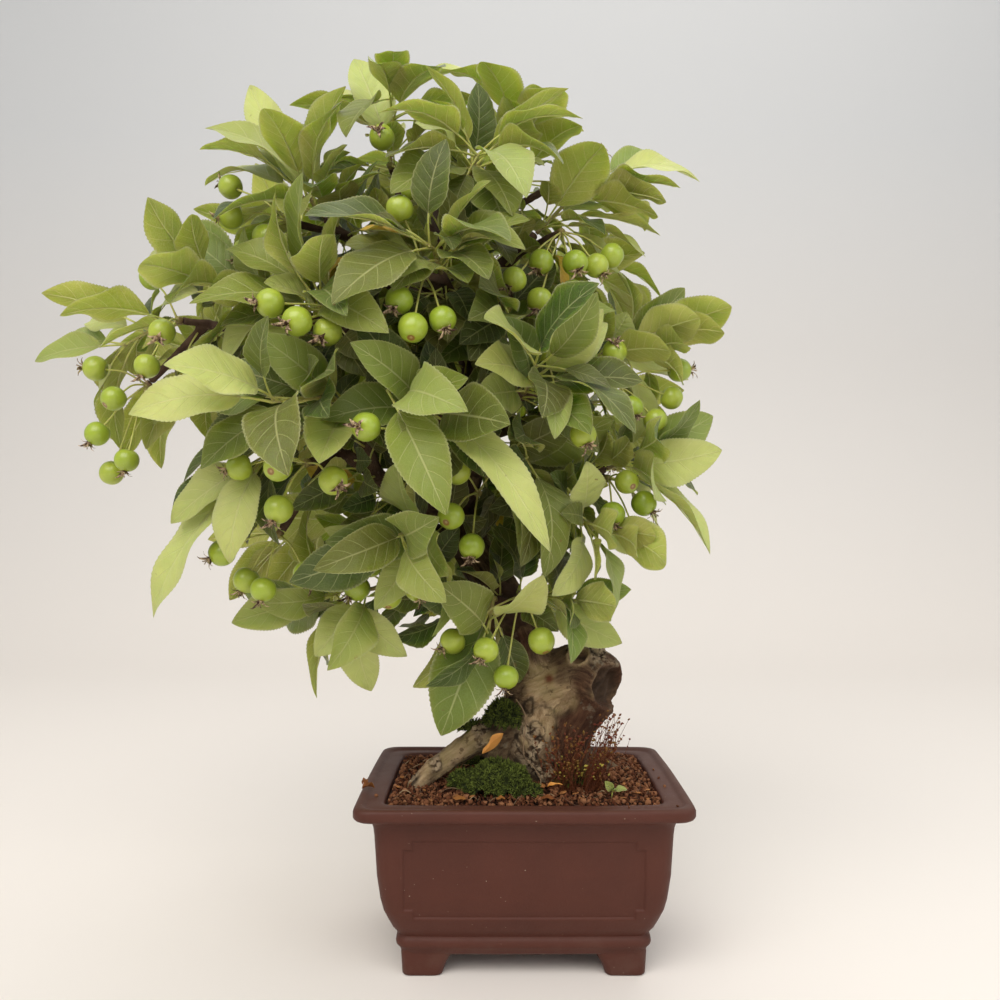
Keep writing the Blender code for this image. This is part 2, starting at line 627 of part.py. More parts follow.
def soil_height(x, y):
    """The soil's surface: low at the rim, mounded towards the trunk, a little uneven."""
    dx = (x - MOUND_MIDDLE[0]) / MOUND_REACH[0]
    dy = (y - MOUND_MIDDLE[1]) / MOUND_REACH[1]
    height, across, along_y = SOIL_RIPPLE
    uneven = height * math.sin(x / across) * math.sin(y / along_y + 1)
    return SOIL_EDGE + SOIL_MOUND * math.exp(-dx * dx - dy * dy) + uneven


def soil_body(name, home, lift=0.0):
    """The pot's filling, a little inside its walls, with the hole that the trunk's foot fills."""
    floor, floor_inset = INNER_LEVELS[-1]
    levels = [(floor + SOIL_PLAY, floor_inset + SOIL_PLAY)]
    levels += [(z, inset + SOIL_PLAY) for z, inset in reversed(INNER_LEVELS[1:3])]
    rings = pot_rings(levels)
    edge = pot_rings([(SOIL_EDGE / MM, SOIL_INSET + SOIL_PLAY)])[0]
    for share in SOIL_SHARES:
        ring = [(x * share, y * share) for x, y, _ in edge]
        rings.append([(x, y, (SOIL_EDGE if share == 1.0 else soil_height(x, y)) + lift) for x, y in ring])
    body = loft(name, rings, home)
    split_faces(body)
    radii = [radius - lift for radius in HOLE_RADII]
    drill = prism(name + "_hole", oval(TRUNK_HOLE, radii, HOLE_SIDES), (HOLE_FLOOR, HOLE_TOP), CUTTERS)
    as_cutter(drill)
    boolean(body, "DIFFERENCE", drill)
    return body


def build_soil():
    soil = soil_body("soil", PARTS)
    floor = INNER_LEVELS[-1][0] * MM
    heights = (floor - POCKET_DEPTH, floor + 2 * SEAT_GAP + SCREEN_THICK)
    half = SCREEN_HALF + 2 * SCREEN_BAR
    for x in (-DRAIN_X, DRAIN_X):
        pocket = prism("screen_pocket", oblong((x, 0), (half, half)), heights, CUTTERS)
        as_cutter(pocket)
        boolean(soil, "DIFFERENCE", pocket)
    settle(soil)
    largest_body(soil)
    soil.data.materials.append(finish_of("granules", GRANULES, 0.95))


def lobed_ring(height, cx, cy, rx, ry, lobes):
    """A section of the trunk's foot, with three soft lobes that turn as they rise."""
    ring = []
    for i in range(FOOT_SIDES):
        angle = 2 * math.pi * i / FOOT_SIDES
        swell = 1 + lobes * math.cos(3 * angle + height / LOBE_TURN)
        ring.append((cx + rx * swell * math.cos(angle), cy + ry * swell * math.sin(angle), height))
    return ring


def build_wood():
    """Trunk, roots, stump, branches and fruiting spurs, grown as one piece."""
    plug = (HOLE_RADII[0] - HOLE_PLAY, HOLE_RADII[1] - HOLE_PLAY)
    rings = [lobed_ring(HOLE_FLOOR + SEAT_GAP, *TRUNK_HOLE, *plug, 0)]
    for height, cx, cy, rx, ry in FOOT_SECTIONS:
        lobes = 0 if height < LOBES_FROM else FOOT_LOBES
        rings.append(lobed_ring(height * MM, cx * MM, cy * MM, rx * MM, ry * MM, lobes))
    pieces = [loft("wood", rings, PARTS)]
    pieces.append(limb("trunk", TRUNK, 2, PARTS))
    pieces.append(limb("stump", STUMP, 2, PARTS))
    for name, spots in ROOTS.items():
        pieces.append(limb("root_" + name, spots, 1, PARTS))
    for name, spots in BRANCHES.items():
        pieces.append(limb("branch_" + name, spots, 1, PARTS))
    for name, (start, end, _) in BUNCHES.items():
        spots = [(*start, SPUR_RADII[0]), (*end, SPUR_RADII[1])]
        pieces.append(limb("spur_" + name, spots, 0, PARTS))
    wood = fuse("wood", pieces, PARTS, finish_of("bark", BARK, 0.85), KEEP_WOOD)
    raised = soil_body("soil_clearance", CUTTERS, SEAT_GAP)
    settle(raised)
    as_cutter(raised)
    end, axis = branch_end(STUMP)
    hollow = tube("stump_hollow", [end - axis * HOLLOW_DEPTH, end + axis * HOLLOW_MOUTH],
                  HOLLOW_RADII, 2, CUTTERS)
    as_cutter(hollow)
    boolean(wood, "DIFFERENCE", raised)
    boolean(wood, "DIFFERENCE", hollow)
    settle(wood)
    largest_body(wood)
    return wood


def branch_end(spots):
    """A branch's end and the direction that it points in."""
    end = place(spots[-1])
    return end, (end - place(spots[-2])).normalized()


def twig_route(name):
    """From just off the branch's end, straight on, then in a gentle bow to the spray's tip."""
    end, ahead = branch_end(BRANCHES[name])
    tip = place(SPRAYS[name][0])
    start = end + ahead * SEAT_GAP
    straight = start + ahead * TWIG_STRAIGHT
    bow = straight.lerp(tip, TWIG_BOW_AT) + UP * TWIG_BOW
    return [start, straight, bow, tip]


def along(route, share):
    """The point at a share of a route's segments, and its direction there."""
    steps = len(route) - 1
    index = min(int(share * steps), steps - 1)
    part = share * steps - index
    ahead = (route[index + 1] - route[index]).normalized()
    return route[index].lerp(route[index + 1], part), ahead


def leaf_outline(share):
    """Half width of a blade along its length: round at the base, drawn out to the tip."""
    return (share ** OUTLINE_BASE) * ((1 - share) ** OUTLINE_TIP) / OUTLINE_PEAK


def leaf_point(leaf, share, across):
    """A point of the blade: share runs from its base to its tip, across from -1 to 1."""
    root, tip, width, facing, fold, arch, wave, phase = leaf
    length = (tip - root).length
    axis = (tip - root) / length
    side = axis.cross(facing).normalized()
    up = side.cross(axis)
    stalk = STALK / length
    run = stalk + (1 - stalk) * share if share >= 0 else stalk * (1 + share)
    half = width / 2 * leaf_outline(min(max(share, 0), 1))
    ripple = wave * math.sin(WAVES * share + phase + (WAVE_SHIFT if across > 0 else 0))
    rise = half * (abs(across) * math.sin(fold) + across * across * ripple)
    middle = root + axis * (length * run) + up * (arch * length * math.sin(math.pi * run))
    return middle + side * (across * half * math.cos(fold)) + up * rise, side, up


def leaf_shape(leaf, stations, extra=0.0, from_share=-1.0):
    """A thin closed blade on its stalk: both faces are split alike and meet in its edge."""
    edges, ribs = stations
    thick = LEAF_THICK / 2 + extra
    verts = []
    for share in (from_share, 0):
        centre, side, up = leaf_point(leaf, share, 0)
        size = STALK_RADIUS + extra
        verts += [centre + side * size, centre + up * size, centre - side * size, centre - up * size]
    faces = [(0, 1, 2), (0, 2, 3)]
    for i in range(4):
        j = (i + 1) % 4
        faces += [(i, j, 4 + j), (i, 4 + j, 4 + i)]
    tip = len(verts)
    verts.append(leaf[1])
    for across, edge_start in ((1, 4), (-1, 6)):
        edge = [(0, edge_start)]
        for share in edges:
            edge.append((share, len(verts)))
            verts.append(leaf_point(leaf, share, across)[0])
        for rib_start, sign in ((5, 1), (7, -1)):
            rib = [(0, rib_start)]
            for share in ribs:
                centre, _, up = leaf_point(leaf, share, 0)
                rib.append((share, rib_vertex(verts, centre + up * (sign * thick))))
            faces += zipped(rib, edge, tip)
    return verts, faces


def rib_vertex(verts, point):
    """The number of a point of the rib, which the blade's two halves share."""
    for index, known in enumerate(verts):
        if (known - point).length < SAME_POINT:
            return index
    verts.append(point)
    return len(verts) - 1


def zipped(rib, edge, tip):
    """Triangles between the rib and one edge of a blade, from the base to the tip."""
    faces = []
    i = j = 0
    while i < len(rib) - 1 or j < len(edge) - 1:
        take_edge = j < len(edge) - 1 and (i == len(rib) - 1 or edge[j + 1][0] <= rib[i + 1][0])
        if take_edge:
            faces.append((rib[i][1], edge[j][1], edge[j + 1][1]))
            j += 1
        else:
            faces.append((rib[i][1], edge[j][1], rib[i + 1][1]))
            i += 1
    return faces + [(rib[-1][1], edge[-1][1], tip)]


def blade(root, tip, width, draw, front):
    """A leaf from a stalk's root to a tip, its face turned up and outwards."""
    outward = (root - Vector(CROWN_MIDDLE)).normalized()
    facing = UP * FACE_UP + outward * FACE_OUT - Vector((0, FACE_FRONT, 0)) * front
    facing += Vector((draw.uniform(-1, 1), draw.uniform(-1, 1), draw.uniform(-0.4, 0.4))) * FACE_CHANCE
    fold = LEAF_FOLD * draw.uniform(*FOLD_SPREAD)
    arch = LEAF_ARCH * draw.uniform(*ARCH_SPREAD)
    wave = LEAF_WAVE * draw.uniform(*WAVE_SPREAD)
    return (root, tip, width, facing, fold, arch, wave, draw.uniform(0, 2 * math.pi))


def shown_leaf(route, spot, number, attempt):
    """A leaf with its tip at a chosen place; each further attempt moves the tip a little more."""
    draw = random.Random(SHOWN_SEED * number + attempt)
    nudge = Vector((draw.uniform(-1, 1), draw.uniform(-2, 2), draw.uniform(-1, 1)))
    tip = place(spot) + nudge * (SHOWN_NUDGE * attempt)
    width = spot[3] * MM
    wanted = STALK + SHOWN_REACH * width
    share = min(SHOWN_SHARES, key=lambda s: abs((along(route, s)[0] - tip).length - wanted))
    return blade(along(route, share)[0], tip, width, draw, 1)


def ruled_leaf(route, rank, count, number, attempt):
    """A leaf set round the twig by the golden angle; each further attempt turns it on."""
    draw = random.Random(RULED_SEED * number + attempt)
    share = TWIG_BARE + (1 - TWIG_BARE) * (rank + draw.uniform(0.2, 0.8)) / count
    root, ahead = along(route, share)
    first = ahead.cross(UP).normalized()
    second = first.cross(ahead)
    angle = GOLDEN_ANGLE * rank + ANGLE_STEP * attempt + draw.uniform(-ANGLE_CHANCE, ANGLE_CHANCE)
    outward = (root - Vector(CROWN_MIDDLE)).normalized()
    heading = (first * math.cos(angle) + second * math.sin(angle)) * HEADING_ROUND
    heading += ahead * HEADING_AHEAD + outward * HEADING_OUT - UP * draw.uniform(*HEADING_DOWN)
    length = draw.uniform(*LEAF_LENGTH) * (1 - SHORTER_EACH_TIME * attempt)
    width = length * draw.uniform(*LEAF_WIDTH_SHARE)
    tip = root + heading.normalized() * (length + STALK)
    return blade(root, tip, width, draw, 0)


def in_crown(point):
    """Whether a leaf's tip lies inside the crown's rounded outline."""
    total = 0
    for value, middle, reach in zip(point, CROWN_HEART, CROWN_REACH):
        total += abs((value - middle) / reach) ** CROWN_ROUNDNESS
    return total < 1


class Placed:
    """What is already placed, so that a new shape can be kept clear of it."""

    def __init__(self):
        self.items = []

    def add(self, node, verts, faces):
        self.items.append((node, *ball(verts), BVHTree.FromPolygons(verts, faces)))

    def clear(self, verts, faces, among):
        """Whether a shape crosses none of the items whose node passes the test."""
        centre, radius = ball(verts)
        tree = None
        for node, middle, reach, shape in self.items:
            if not among(node) or (middle - centre).length > radius + reach:
                continue
            tree = tree or BVHTree.FromPolygons(verts, faces)
            if tree.overlap(shape):
                return False
        return True


def ball(verts):
    """A ball round a shape: its centre and radius."""
    centre = sum(verts, Vector()) / len(verts)
    return centre, max((v - centre).length for v in verts)


def polygons(obj):
    mesh = obj.data
    return [v.co.copy() for v in mesh.vertices], [tuple(p.vertices) for p in mesh.polygons]


def build_twigs(placed):
    twigs = {}
    for name in SPRAYS:
        route = twig_route(name)
        obj = tube("spray_" + name, route, TWIG_RADII, THREE_SIDED, PARTS)
        twigs[name] = (obj, route)
        placed.add("spray_" + name, *polygons(obj))
    return twigs


def fruit_bunch(placed, name, number):
    """A bunch's knob, stalks and fruits, each fruit at its place or the nearest free one."""
    start, end, spots = BUNCHES[name]
    node = "fruit_" + name
    ahead = (place(end) - place(start)).normalized()
    foot = place(end) + ahead * SEAT_GAP
    knob = tube(node, [foot, foot + ahead * KNOB_LENGTH], KNOB_RADII, 0, PARTS)
    pieces = [knob]
    placed.add(node, *polygons(knob))
    crown = foot + ahead * KNOB_LENGTH * KNOB_ROOT
    for rank, spot in enumerate(spots):
        for attempt in range(ATTEMPTS):
            draw = random.Random(FRUIT_SEED * number + FRUITS_A_BUNCH * rank + attempt)
            nudge = Vector((draw.uniform(-1, 1), draw.uniform(-1.6, 1.6), draw.uniform(-1, 1)))
            stalk, fruit, centre = fruit_on_stalk(crown, place(spot) + nudge * (FRUIT_NUDGE * attempt))
            clear = placed.clear(*polygons(stalk), lambda other: other != node)
            if clear and placed.clear(*swollen(fruit, centre), lambda other: True):
                pieces += [stalk, fruit]
                placed.add(node, *polygons(stalk))
                placed.add(node, *polygons(fruit))
                break
            bpy.data.objects.remove(stalk)
            bpy.data.objects.remove(fruit)
    return node, pieces


def fruit_on_stalk(crown, centre):
    arch = crown.lerp(centre, 0.5) + UP * PEDICEL_ARCH
    into = centre + (arch - centre).normalized() * FRUIT_RADIUS * 0.5
    stalk = tube("pedicel", [crown, arch, into], [PEDICEL_RADIUS] * 3, THREE_SIDED, PARTS)
    shape = bmesh.new()
    bmesh.ops.create_icosphere(shape, subdivisions=1, radius=FRUIT_RADIUS * FRUIT_CORNERS)
    mesh = bpy.data.meshes.new("fruit")
    shape.to_mesh(mesh)
    shape.free()
    mesh.transform(matrix_to(centre, into))
    fruit = bpy.data.objects.new("fruit", mesh)
    PARTS.objects.link(fruit)
    return stalk, fruit, centre


def swollen(obj, centre):
    """A fruit's shape with the room that it needs round it."""
    verts, faces = polygons(obj)
    return [centre + (v - centre) * FRUIT_ROOM for v in verts], faces


def matrix_to(centre, stalk_side):
    """Stands a fruit on its stalk: its own +Z points to the stalk."""
    turn = (stalk_side - centre).to_track_quat("Z", "Y").to_matrix().to_4x4()
    turn.translation = centre
    return turn


def candidate(name, route, shown, number, rank, attempt):
    """One try at a leaf, or None where its tip would leave the crown."""
    _, count, spots = SPRAYS[name]
    key = LEAVES_A_SPRAY * number + rank
    if shown:
        return shown_leaf(route, spots[rank], key, attempt)
    leaf = ruled_leaf(route, rank, count, key + FIRST_RULED, attempt)
    return leaf if in_crown(leaf[1]) else None


def grow_leaves(placed, twigs):
    """The leaves that show from the front are placed first, then the others by the rule."""
    pieces = {name: [twig] for name, (twig, _) in twigs.items()}
    for shown in (True, False):
        stations = SHOWN_STATIONS if shown else PLAIN_STATIONS
        for number, (name, (_, count, spots)) in enumerate(SPRAYS.items()):
            route = twigs[name][1]
            node = "spray_" + name
            for rank in range(len(spots) if shown else count):
                for attempt in range(ATTEMPTS):
                    leaf = candidate(name, route, shown, number, rank, attempt)
                    whole = leaf and placed_leaf(placed, node, leaf, stations)
                    if whole:
                        pieces[name].append(object_from("leaf", *whole, PARTS))
                        break
    return pieces


def placed_leaf(placed, node, leaf, stations):
    """The leaf's shape if it is clear of the other nodes and of its own spray's blades."""
    guard = leaf_shape(leaf, stations, CLEARANCE)
    if not placed.clear(*guard, lambda other: other != node and not other.endswith("_free")):
        return None
    free = leaf_shape(leaf, stations, 0, OWN_FREE_SHARE)
    if not placed.clear(*free, lambda other: other == node + "_free"):
        return None
    whole = leaf_shape(leaf, stations)
    placed.add(node, *whole)
    placed.add(node + "_free", *free)
    return whole


def main():
    clear_scene()
    for collection in (PARTS, CUTTERS):
        bpy.context.scene.collection.children.link(collection)
    three_sided_profile()
    build_pot()
    build_screen("drain_screen_left", -DRAIN_X)
    build_screen("drain_screen_right", DRAIN_X)
    build_soil()
    wood = build_wood()
    placed = Placed()
    placed.add("wood", *polygons(wood))
    twigs = build_twigs(placed)
    bunches = [fruit_bunch(placed, name, number) for number, name in enumerate(BUNCHES)]
    sprays = grow_leaves(placed, twigs)
    for node, pieces in bunches:
        fuse(node, pieces, PARTS, finish_of(node + "_skin", FRUIT_GREEN, 0.4), KEEP_FRUIT)
    for name, pieces in sprays.items():
        skin = finish_of("leaves_" + name, LEAF_GREEN, 0.5)
        fuse("spray_" + name, pieces, PARTS, skin, KEEP_SPRAY)
    centre_on_table()


def centre_on_table():
    """Hangs every piece on one empty that puts the middle of the whole box over the origin."""
    corners = [v.co for obj in PARTS.objects for v in obj.data.vertices]
    middle = [(min(c[i] for c in corners) + max(c[i] for c in corners)) / 2 for i in (0, 1)]
    base = bpy.data.objects.new("plant_base", None)
    base.location = (-middle[0], -middle[1], 0)
    PARTS.objects.link(base)
    for obj in list(PARTS.objects):
        if obj is not base:
            obj.parent = base


main()
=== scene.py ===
"""Hall crabapple bonsai with green fruit, in its oblong brown clay pot.

Builds the finished look of the plant round its solids. The plant is laid out round the pot's
middle on the table; places in the lists are in millimetres, X to the right, Y away from the
front and Z up from the table, and every finished mesh is then moved to the solids' own frame.
"""

import math
import random

import bmesh
import bpy
from mathutils import Matrix, Vector, noise
from mathutils.bvhtree import BVHTree
from mathutils.kdtree import KDTree


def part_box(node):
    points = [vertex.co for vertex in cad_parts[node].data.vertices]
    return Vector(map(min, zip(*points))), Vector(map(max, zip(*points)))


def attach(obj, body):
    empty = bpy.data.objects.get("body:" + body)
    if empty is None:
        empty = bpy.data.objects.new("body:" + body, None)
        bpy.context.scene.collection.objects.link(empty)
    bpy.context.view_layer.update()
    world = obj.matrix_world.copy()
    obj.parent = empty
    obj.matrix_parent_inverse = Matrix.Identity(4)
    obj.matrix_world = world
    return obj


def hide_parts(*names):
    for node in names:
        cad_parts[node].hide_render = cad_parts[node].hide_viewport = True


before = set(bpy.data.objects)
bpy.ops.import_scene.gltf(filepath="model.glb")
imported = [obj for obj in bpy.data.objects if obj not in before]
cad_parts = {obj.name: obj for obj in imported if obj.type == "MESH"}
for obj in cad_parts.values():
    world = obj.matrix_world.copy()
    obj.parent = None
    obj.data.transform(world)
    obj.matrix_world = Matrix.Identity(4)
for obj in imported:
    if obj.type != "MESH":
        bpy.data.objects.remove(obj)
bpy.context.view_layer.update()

bl_info = {
    "name": "Hall crabapple bonsai",
    "version": (1, 0, 0),
    "blender": (4, 5, 0),
    "location": "View3D > Sidebar > Bonsai",
    "description": "Builds a fruiting crabapple bonsai in its clay pot",
    "category": "Add Mesh",
}

MM = 0.001
UP = Vector((0, 0, 1))
BODY = "root"
POT_LOW, POT_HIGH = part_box("pot")
HOME = Vector(((POT_LOW.x + POT_HIGH.x) / 2, (POT_LOW.y + POT_HIGH.y) / 2, 0))

# Limbs: places along each, with the radius there.
FOOT_SECTIONS = [
    (80, 6, 2, 29.5, 22.5), (92, 6, 2, 29.5, 22.5), (99, 6, 1, 27, 21.5), (109, 6, 0, 24.5, 19),
    (122, 8, 0, 20.5, 17), (136, 9, -1, 17.5, 15), (150, 8, 0, 13.5, 13.5), (163, 2, 0, 12.6, 12.6),
]
TRUNK = [
    (5, 0, 154, 13), (1, 0, 167, 12.6), (-12, 2, 189, 11.5), (-30, 0, 219, 10.5), (-33, -4, 244, 9.6),
    (-24, -4, 275, 8.6), (-24, 0, 306, 7.8), (-35, 4, 339, 6.6), (-45, 4, 388, 5),
]
STUMP = [(8, 0, 137, 14), (31, -4, 146, 17), (43.5, -13, 142, 15.5)]
ROOTS = {
    "left": [(2, -2, 124, 13), (-14, -8, 117, 9), (-33, -12, 106, 6.6), (-48, -15, 96, 5.6), (-58, -16, 85, 4.6)],
    "front": [(5, -8, 116, 12), (8, -15, 108, 10), (12, -19, 101, 8.5), (14.5, -21, 92, 7)],
    "stump": [(36, -5, 140, 11), (29, -3, 116, 10), (24, -2, 94, 11)],
    "right": [(20, 2, 104, 10), (42, 6, 93, 6.5), (57, 9, 85, 4)],
    "back": [(10, 8, 108, 11), (22, 26, 96, 7), (33, 39, 86, 4)],
    "back_left": [(-4, 8, 104, 10), (-24, 25, 92, 5.5), (-36, 33, 86, 3.6)],
}
BRANCHES = {
    "left_low": [(-5, 0, 167, 7), (-28, -8, 184, 6), (-53, -15, 201, 5), (-76, -22, 195, 3)],
    "left_mid": [(-31, -3, 233, 6), (-60, -25, 240, 5), (-76, -40, 254, 4), (-107, -50, 273, 2.6)],
    "left_front": [(-76, -40, 254, 4), (-81, -50, 275, 3), (-83, -55, 283, 2.4)],
    "left_high": [(-24, 0, 300, 6), (-66, -18, 314, 5), (-107, -28, 333, 4), (-119, -30, 340, 3)],
    "far_left": [(-107, -28, 333, 4), (-145, -24, 332, 3), (-175, -20, 336, 2.4)],
    "center_left": [(-86, -24, 324, 3.4), (-92, -42, 325, 2.6), (-94, -56, 328, 2.2)],
    "upper_left": [(-37, 4, 351, 5), (-67, -5, 371, 4), (-95, -20, 383, 3), (-105, -26, 391, 2.4)],
    "top_left": [(-46, 4, 384, 5), (-65, 0, 408, 4), (-72, 0, 429, 2.6)],
    "top_right": [(-46, 4, 384, 5), (-18, 6, 401, 4), (-4, 8, 419, 2.8)],
    "upper_right": [(-37, 4, 351, 5), (-6, 0, 377, 4), (8, -2, 390, 2.6)],
    "right_high": [(-24, 0, 308, 5), (5, 5, 317, 3.6), (37, 2, 321, 2.4)],
    "right_mid": [(-23, 0, 267, 5.5), (7, -4, 250, 4), (26, -2, 252, 3.4), (47, 0, 259, 2.6)],
    "right_low": [(13, -4, 250, 3.4), (22, -12, 242, 2.6), (28, -20, 233, 2.2)],
    "low_right": [(-8, -4, 181, 5), (3, -12, 188, 3)],
    "low_front": [(-10, -8, 184, 5), (-14, -24, 188, 2.8)],
    "center_low": [(-30, -2, 219, 5), (-42, -22, 220, 3.2), (-46, -32, 221, 2.4)],
    "front_center": [(-23, -5, 277, 5), (-37, -40, 279, 3.4), (-43, -57, 281, 2.4)],
    "front_right": [(-23, -5, 288, 5), (-9, -30, 292, 3.2), (-1, -50, 294, 2.4)],
    "front_upper": [(-35, 0, 342, 5), (-38, -35, 348, 3.4), (-41, -60, 352, 2.4)],
    "front_top": [(-45, 2, 385, 4.6), (-33, -20, 401, 3.4), (-27, -40, 408, 2.4)],
    "back_top": [(-46, 6, 385, 4.8), (-50, 32, 412, 3.4), (-52, 41, 423, 2.6)],
    "back_left_high": [(-37, 6, 349, 5), (-89, 35, 374, 3.6), (-116, 47, 386, 2.6)],
    "back_left": [(-24, 5, 303, 6), (-79, 30, 318, 4.6), (-132, 44, 323, 3.4), (-150, 48, 324, 2.6)],
    "back_center": [(-32, 6, 332, 5), (-54, 45, 344, 3.6), (-64, 64, 350, 2.6)],
    "back_right_high": [(-34, 6, 340, 5), (-4, 32, 364, 3.6), (12, 43, 375, 2.6)],
    "back_right": [(-23, 5, 278, 5), (15, 35, 292, 3.6), (32, 47, 299, 2.6)],
    "back_low": [(-32, 5, 233, 5), (-36, 32, 239, 3.6), (-39, 50, 242, 2.6)],
    "back_low_left": [(-30, 5, 222, 5), (-66, 27, 226, 3.6), (-88, 37, 229, 2.6)],
    "back_mid_left": [(-79, 30, 318, 4.4), (-107, 60, 302, 3.2), (-114, 67, 298, 2.6)],
    "inner_front_high": [(-30, 0, 322, 4), (-24, -14, 326, 2.6)],
    "inner_front_low": [(-27, -4, 262, 4), (-20, -17, 263, 2.6)],
    "inner_back_high": [(-34, 4, 334, 4), (-27, 19, 338, 2.6)],
    "inner_back_low": [(-28, 2, 260, 4), (-19, 17, 262, 2.6)],
}

# Each leafy spray grows on from the branch of the same name to a tip, with the leaf tips and
# widths that show from the front, and a number of further leaves placed by the rule.
SPRAYS = {
    "top_left": ((-72, -5, 465), 9,
                 [(-94, 0, 491, 25), (-124, 10, 469, 16), (-28, -12, 479, 20), (-92, -42, 429, 24)]),
    "top_right": ((-5, 0, 457), 8,
                  [(-41, -15, 467, 22), (11, 12, 476, 14), (37, 25, 461, 20), (-32, -40, 430, 24)]),
    "upper_right": ((39, -6, 416), 8,
                    [(76, 12, 442, 17), (100, -2, 421, 22), (68, -14, 375, 28), (67, 18, 358, 22)]),
    "upper_left": ((-115, -34, 399), 9,
                   [(-163, -44, 433, 29), (-149, -12, 469, 21), (-179, 2, 420, 22), (-90, -52, 420, 24)]),
    "left_high": ((-158, -42, 348), 7,
                  [(-140, -58, 375, 22), (-180, -34, 381, 20), (-232, -12, 352, 17), (-215, 0, 377, 20),
                   (-148, -60, 309, 24)]),
    "far_left": ((-216, -12, 326), 6,
                 [(-273, 0, 320, 20), (-269, 30, 332, 18), (-260, -12, 269, 22), (-216, -46, 319, 22),
                  (-249, 20, 343, 20)]),
    "left_front": ((-116, -92, 284), 8,
                   [(-174, -112, 277, 25), (-90, -116, 256, 28), (-148, -96, 254, 24),
                    (-119, -108, 312, 22)]),
    "left_mid": ((-133, -62, 254), 8,
                 [(-173, -64, 229, 22), (-187, -52, 182, 25), (-156, -52, 279, 20), (-140, -78, 210, 24)]),
    "left_low": ((-99, -26, 191), 7,
                 [(-152, -32, 177, 22), (-106, -42, 161, 23), (-80, -42, 143, 24), (-59, -34, 162, 20)]),
    "low_front": ((-18, -34, 171), 5,
                  [(-44, -58, 119, 34), (-41, -66, 199, 26), (5, -70, 200, 24)]),
    "low_right": ((21, -22, 187), 6,
                  [(52, -26, 165, 22), (25, -58, 160, 22), (18, -50, 216, 22)]),
    "right_mid": ((65, -6, 266), 8,
                  [(109, -12, 268, 27), (106, -34, 208, 31), (94, 4, 208, 22), (72, 45, 281, 22)]),
    "right_high": ((66, 0, 323), 8,
                   [(97, 14, 312, 22), (85, 30, 342, 20), (64, -14, 278, 20), (58, -10, 344, 20)]),
    "right_low": ((37, -28, 225), 6,
                  [(11, -52, 193, 24), (31, -62, 258, 20), (67, -20, 212, 20)]),
    "front_center": ((-63, -96, 289), 8,
                     [(-27, -118, 291, 22), (-35, -122, 233, 26), (10, -112, 218, 21),
                      (-77, -116, 308, 24)]),
    "front_right": ((5, -74, 304), 8,
                    [(29, -96, 270, 24), (-10, -92, 322, 22), (26, -66, 324, 20), (-22, -98, 286, 22)]),
    "front_upper": ((-45, -86, 358), 8,
                    [(-68, -108, 337, 24), (-26, -112, 335, 20), (1, -92, 369, 22), (-84, -92, 359, 24)]),
    "front_top": ((-23, -62, 410), 8,
                  [(-62, -92, 382, 29), (-6, -90, 372, 24), (10, -62, 406, 20), (-54, -60, 428, 22)]),
    "center_left": ((-100, -74, 336), 8,
                    [(-65, -104, 313, 24), (-118, -96, 338, 22), (-122, -92, 302, 22)]),
    "center_low": ((-61, -64, 223), 8,
                   [(-92, -86, 220, 24), (-37, -86, 205, 22), (-70, -66, 189, 20)]),
    "inner_front_high": ((-6, -46, 334), 8, []),
    "inner_front_low": ((2, -46, 262), 8, []),
    "inner_back_high": ((-14, 52, 346), 8, []),
    "inner_back_low": ((2, 48, 266), 8, []),
    "back_top": ((-58, 72, 450), 11, []),
    "back_left_high": ((-177, 78, 405), 11, []),
    "back_left": ((-213, 62, 321), 11, []),
    "back_center": ((-88, 122, 366), 11, []),
    "back_right_high": ((62, 82, 396), 11, []),
    "back_right": ((75, 84, 306), 11, []),
    "back_low": ((-54, 102, 240), 11, []),
    "back_low_left": ((-149, 68, 221), 11, []),
    "back_mid_left": ((-155, 112, 293), 11, []),
}

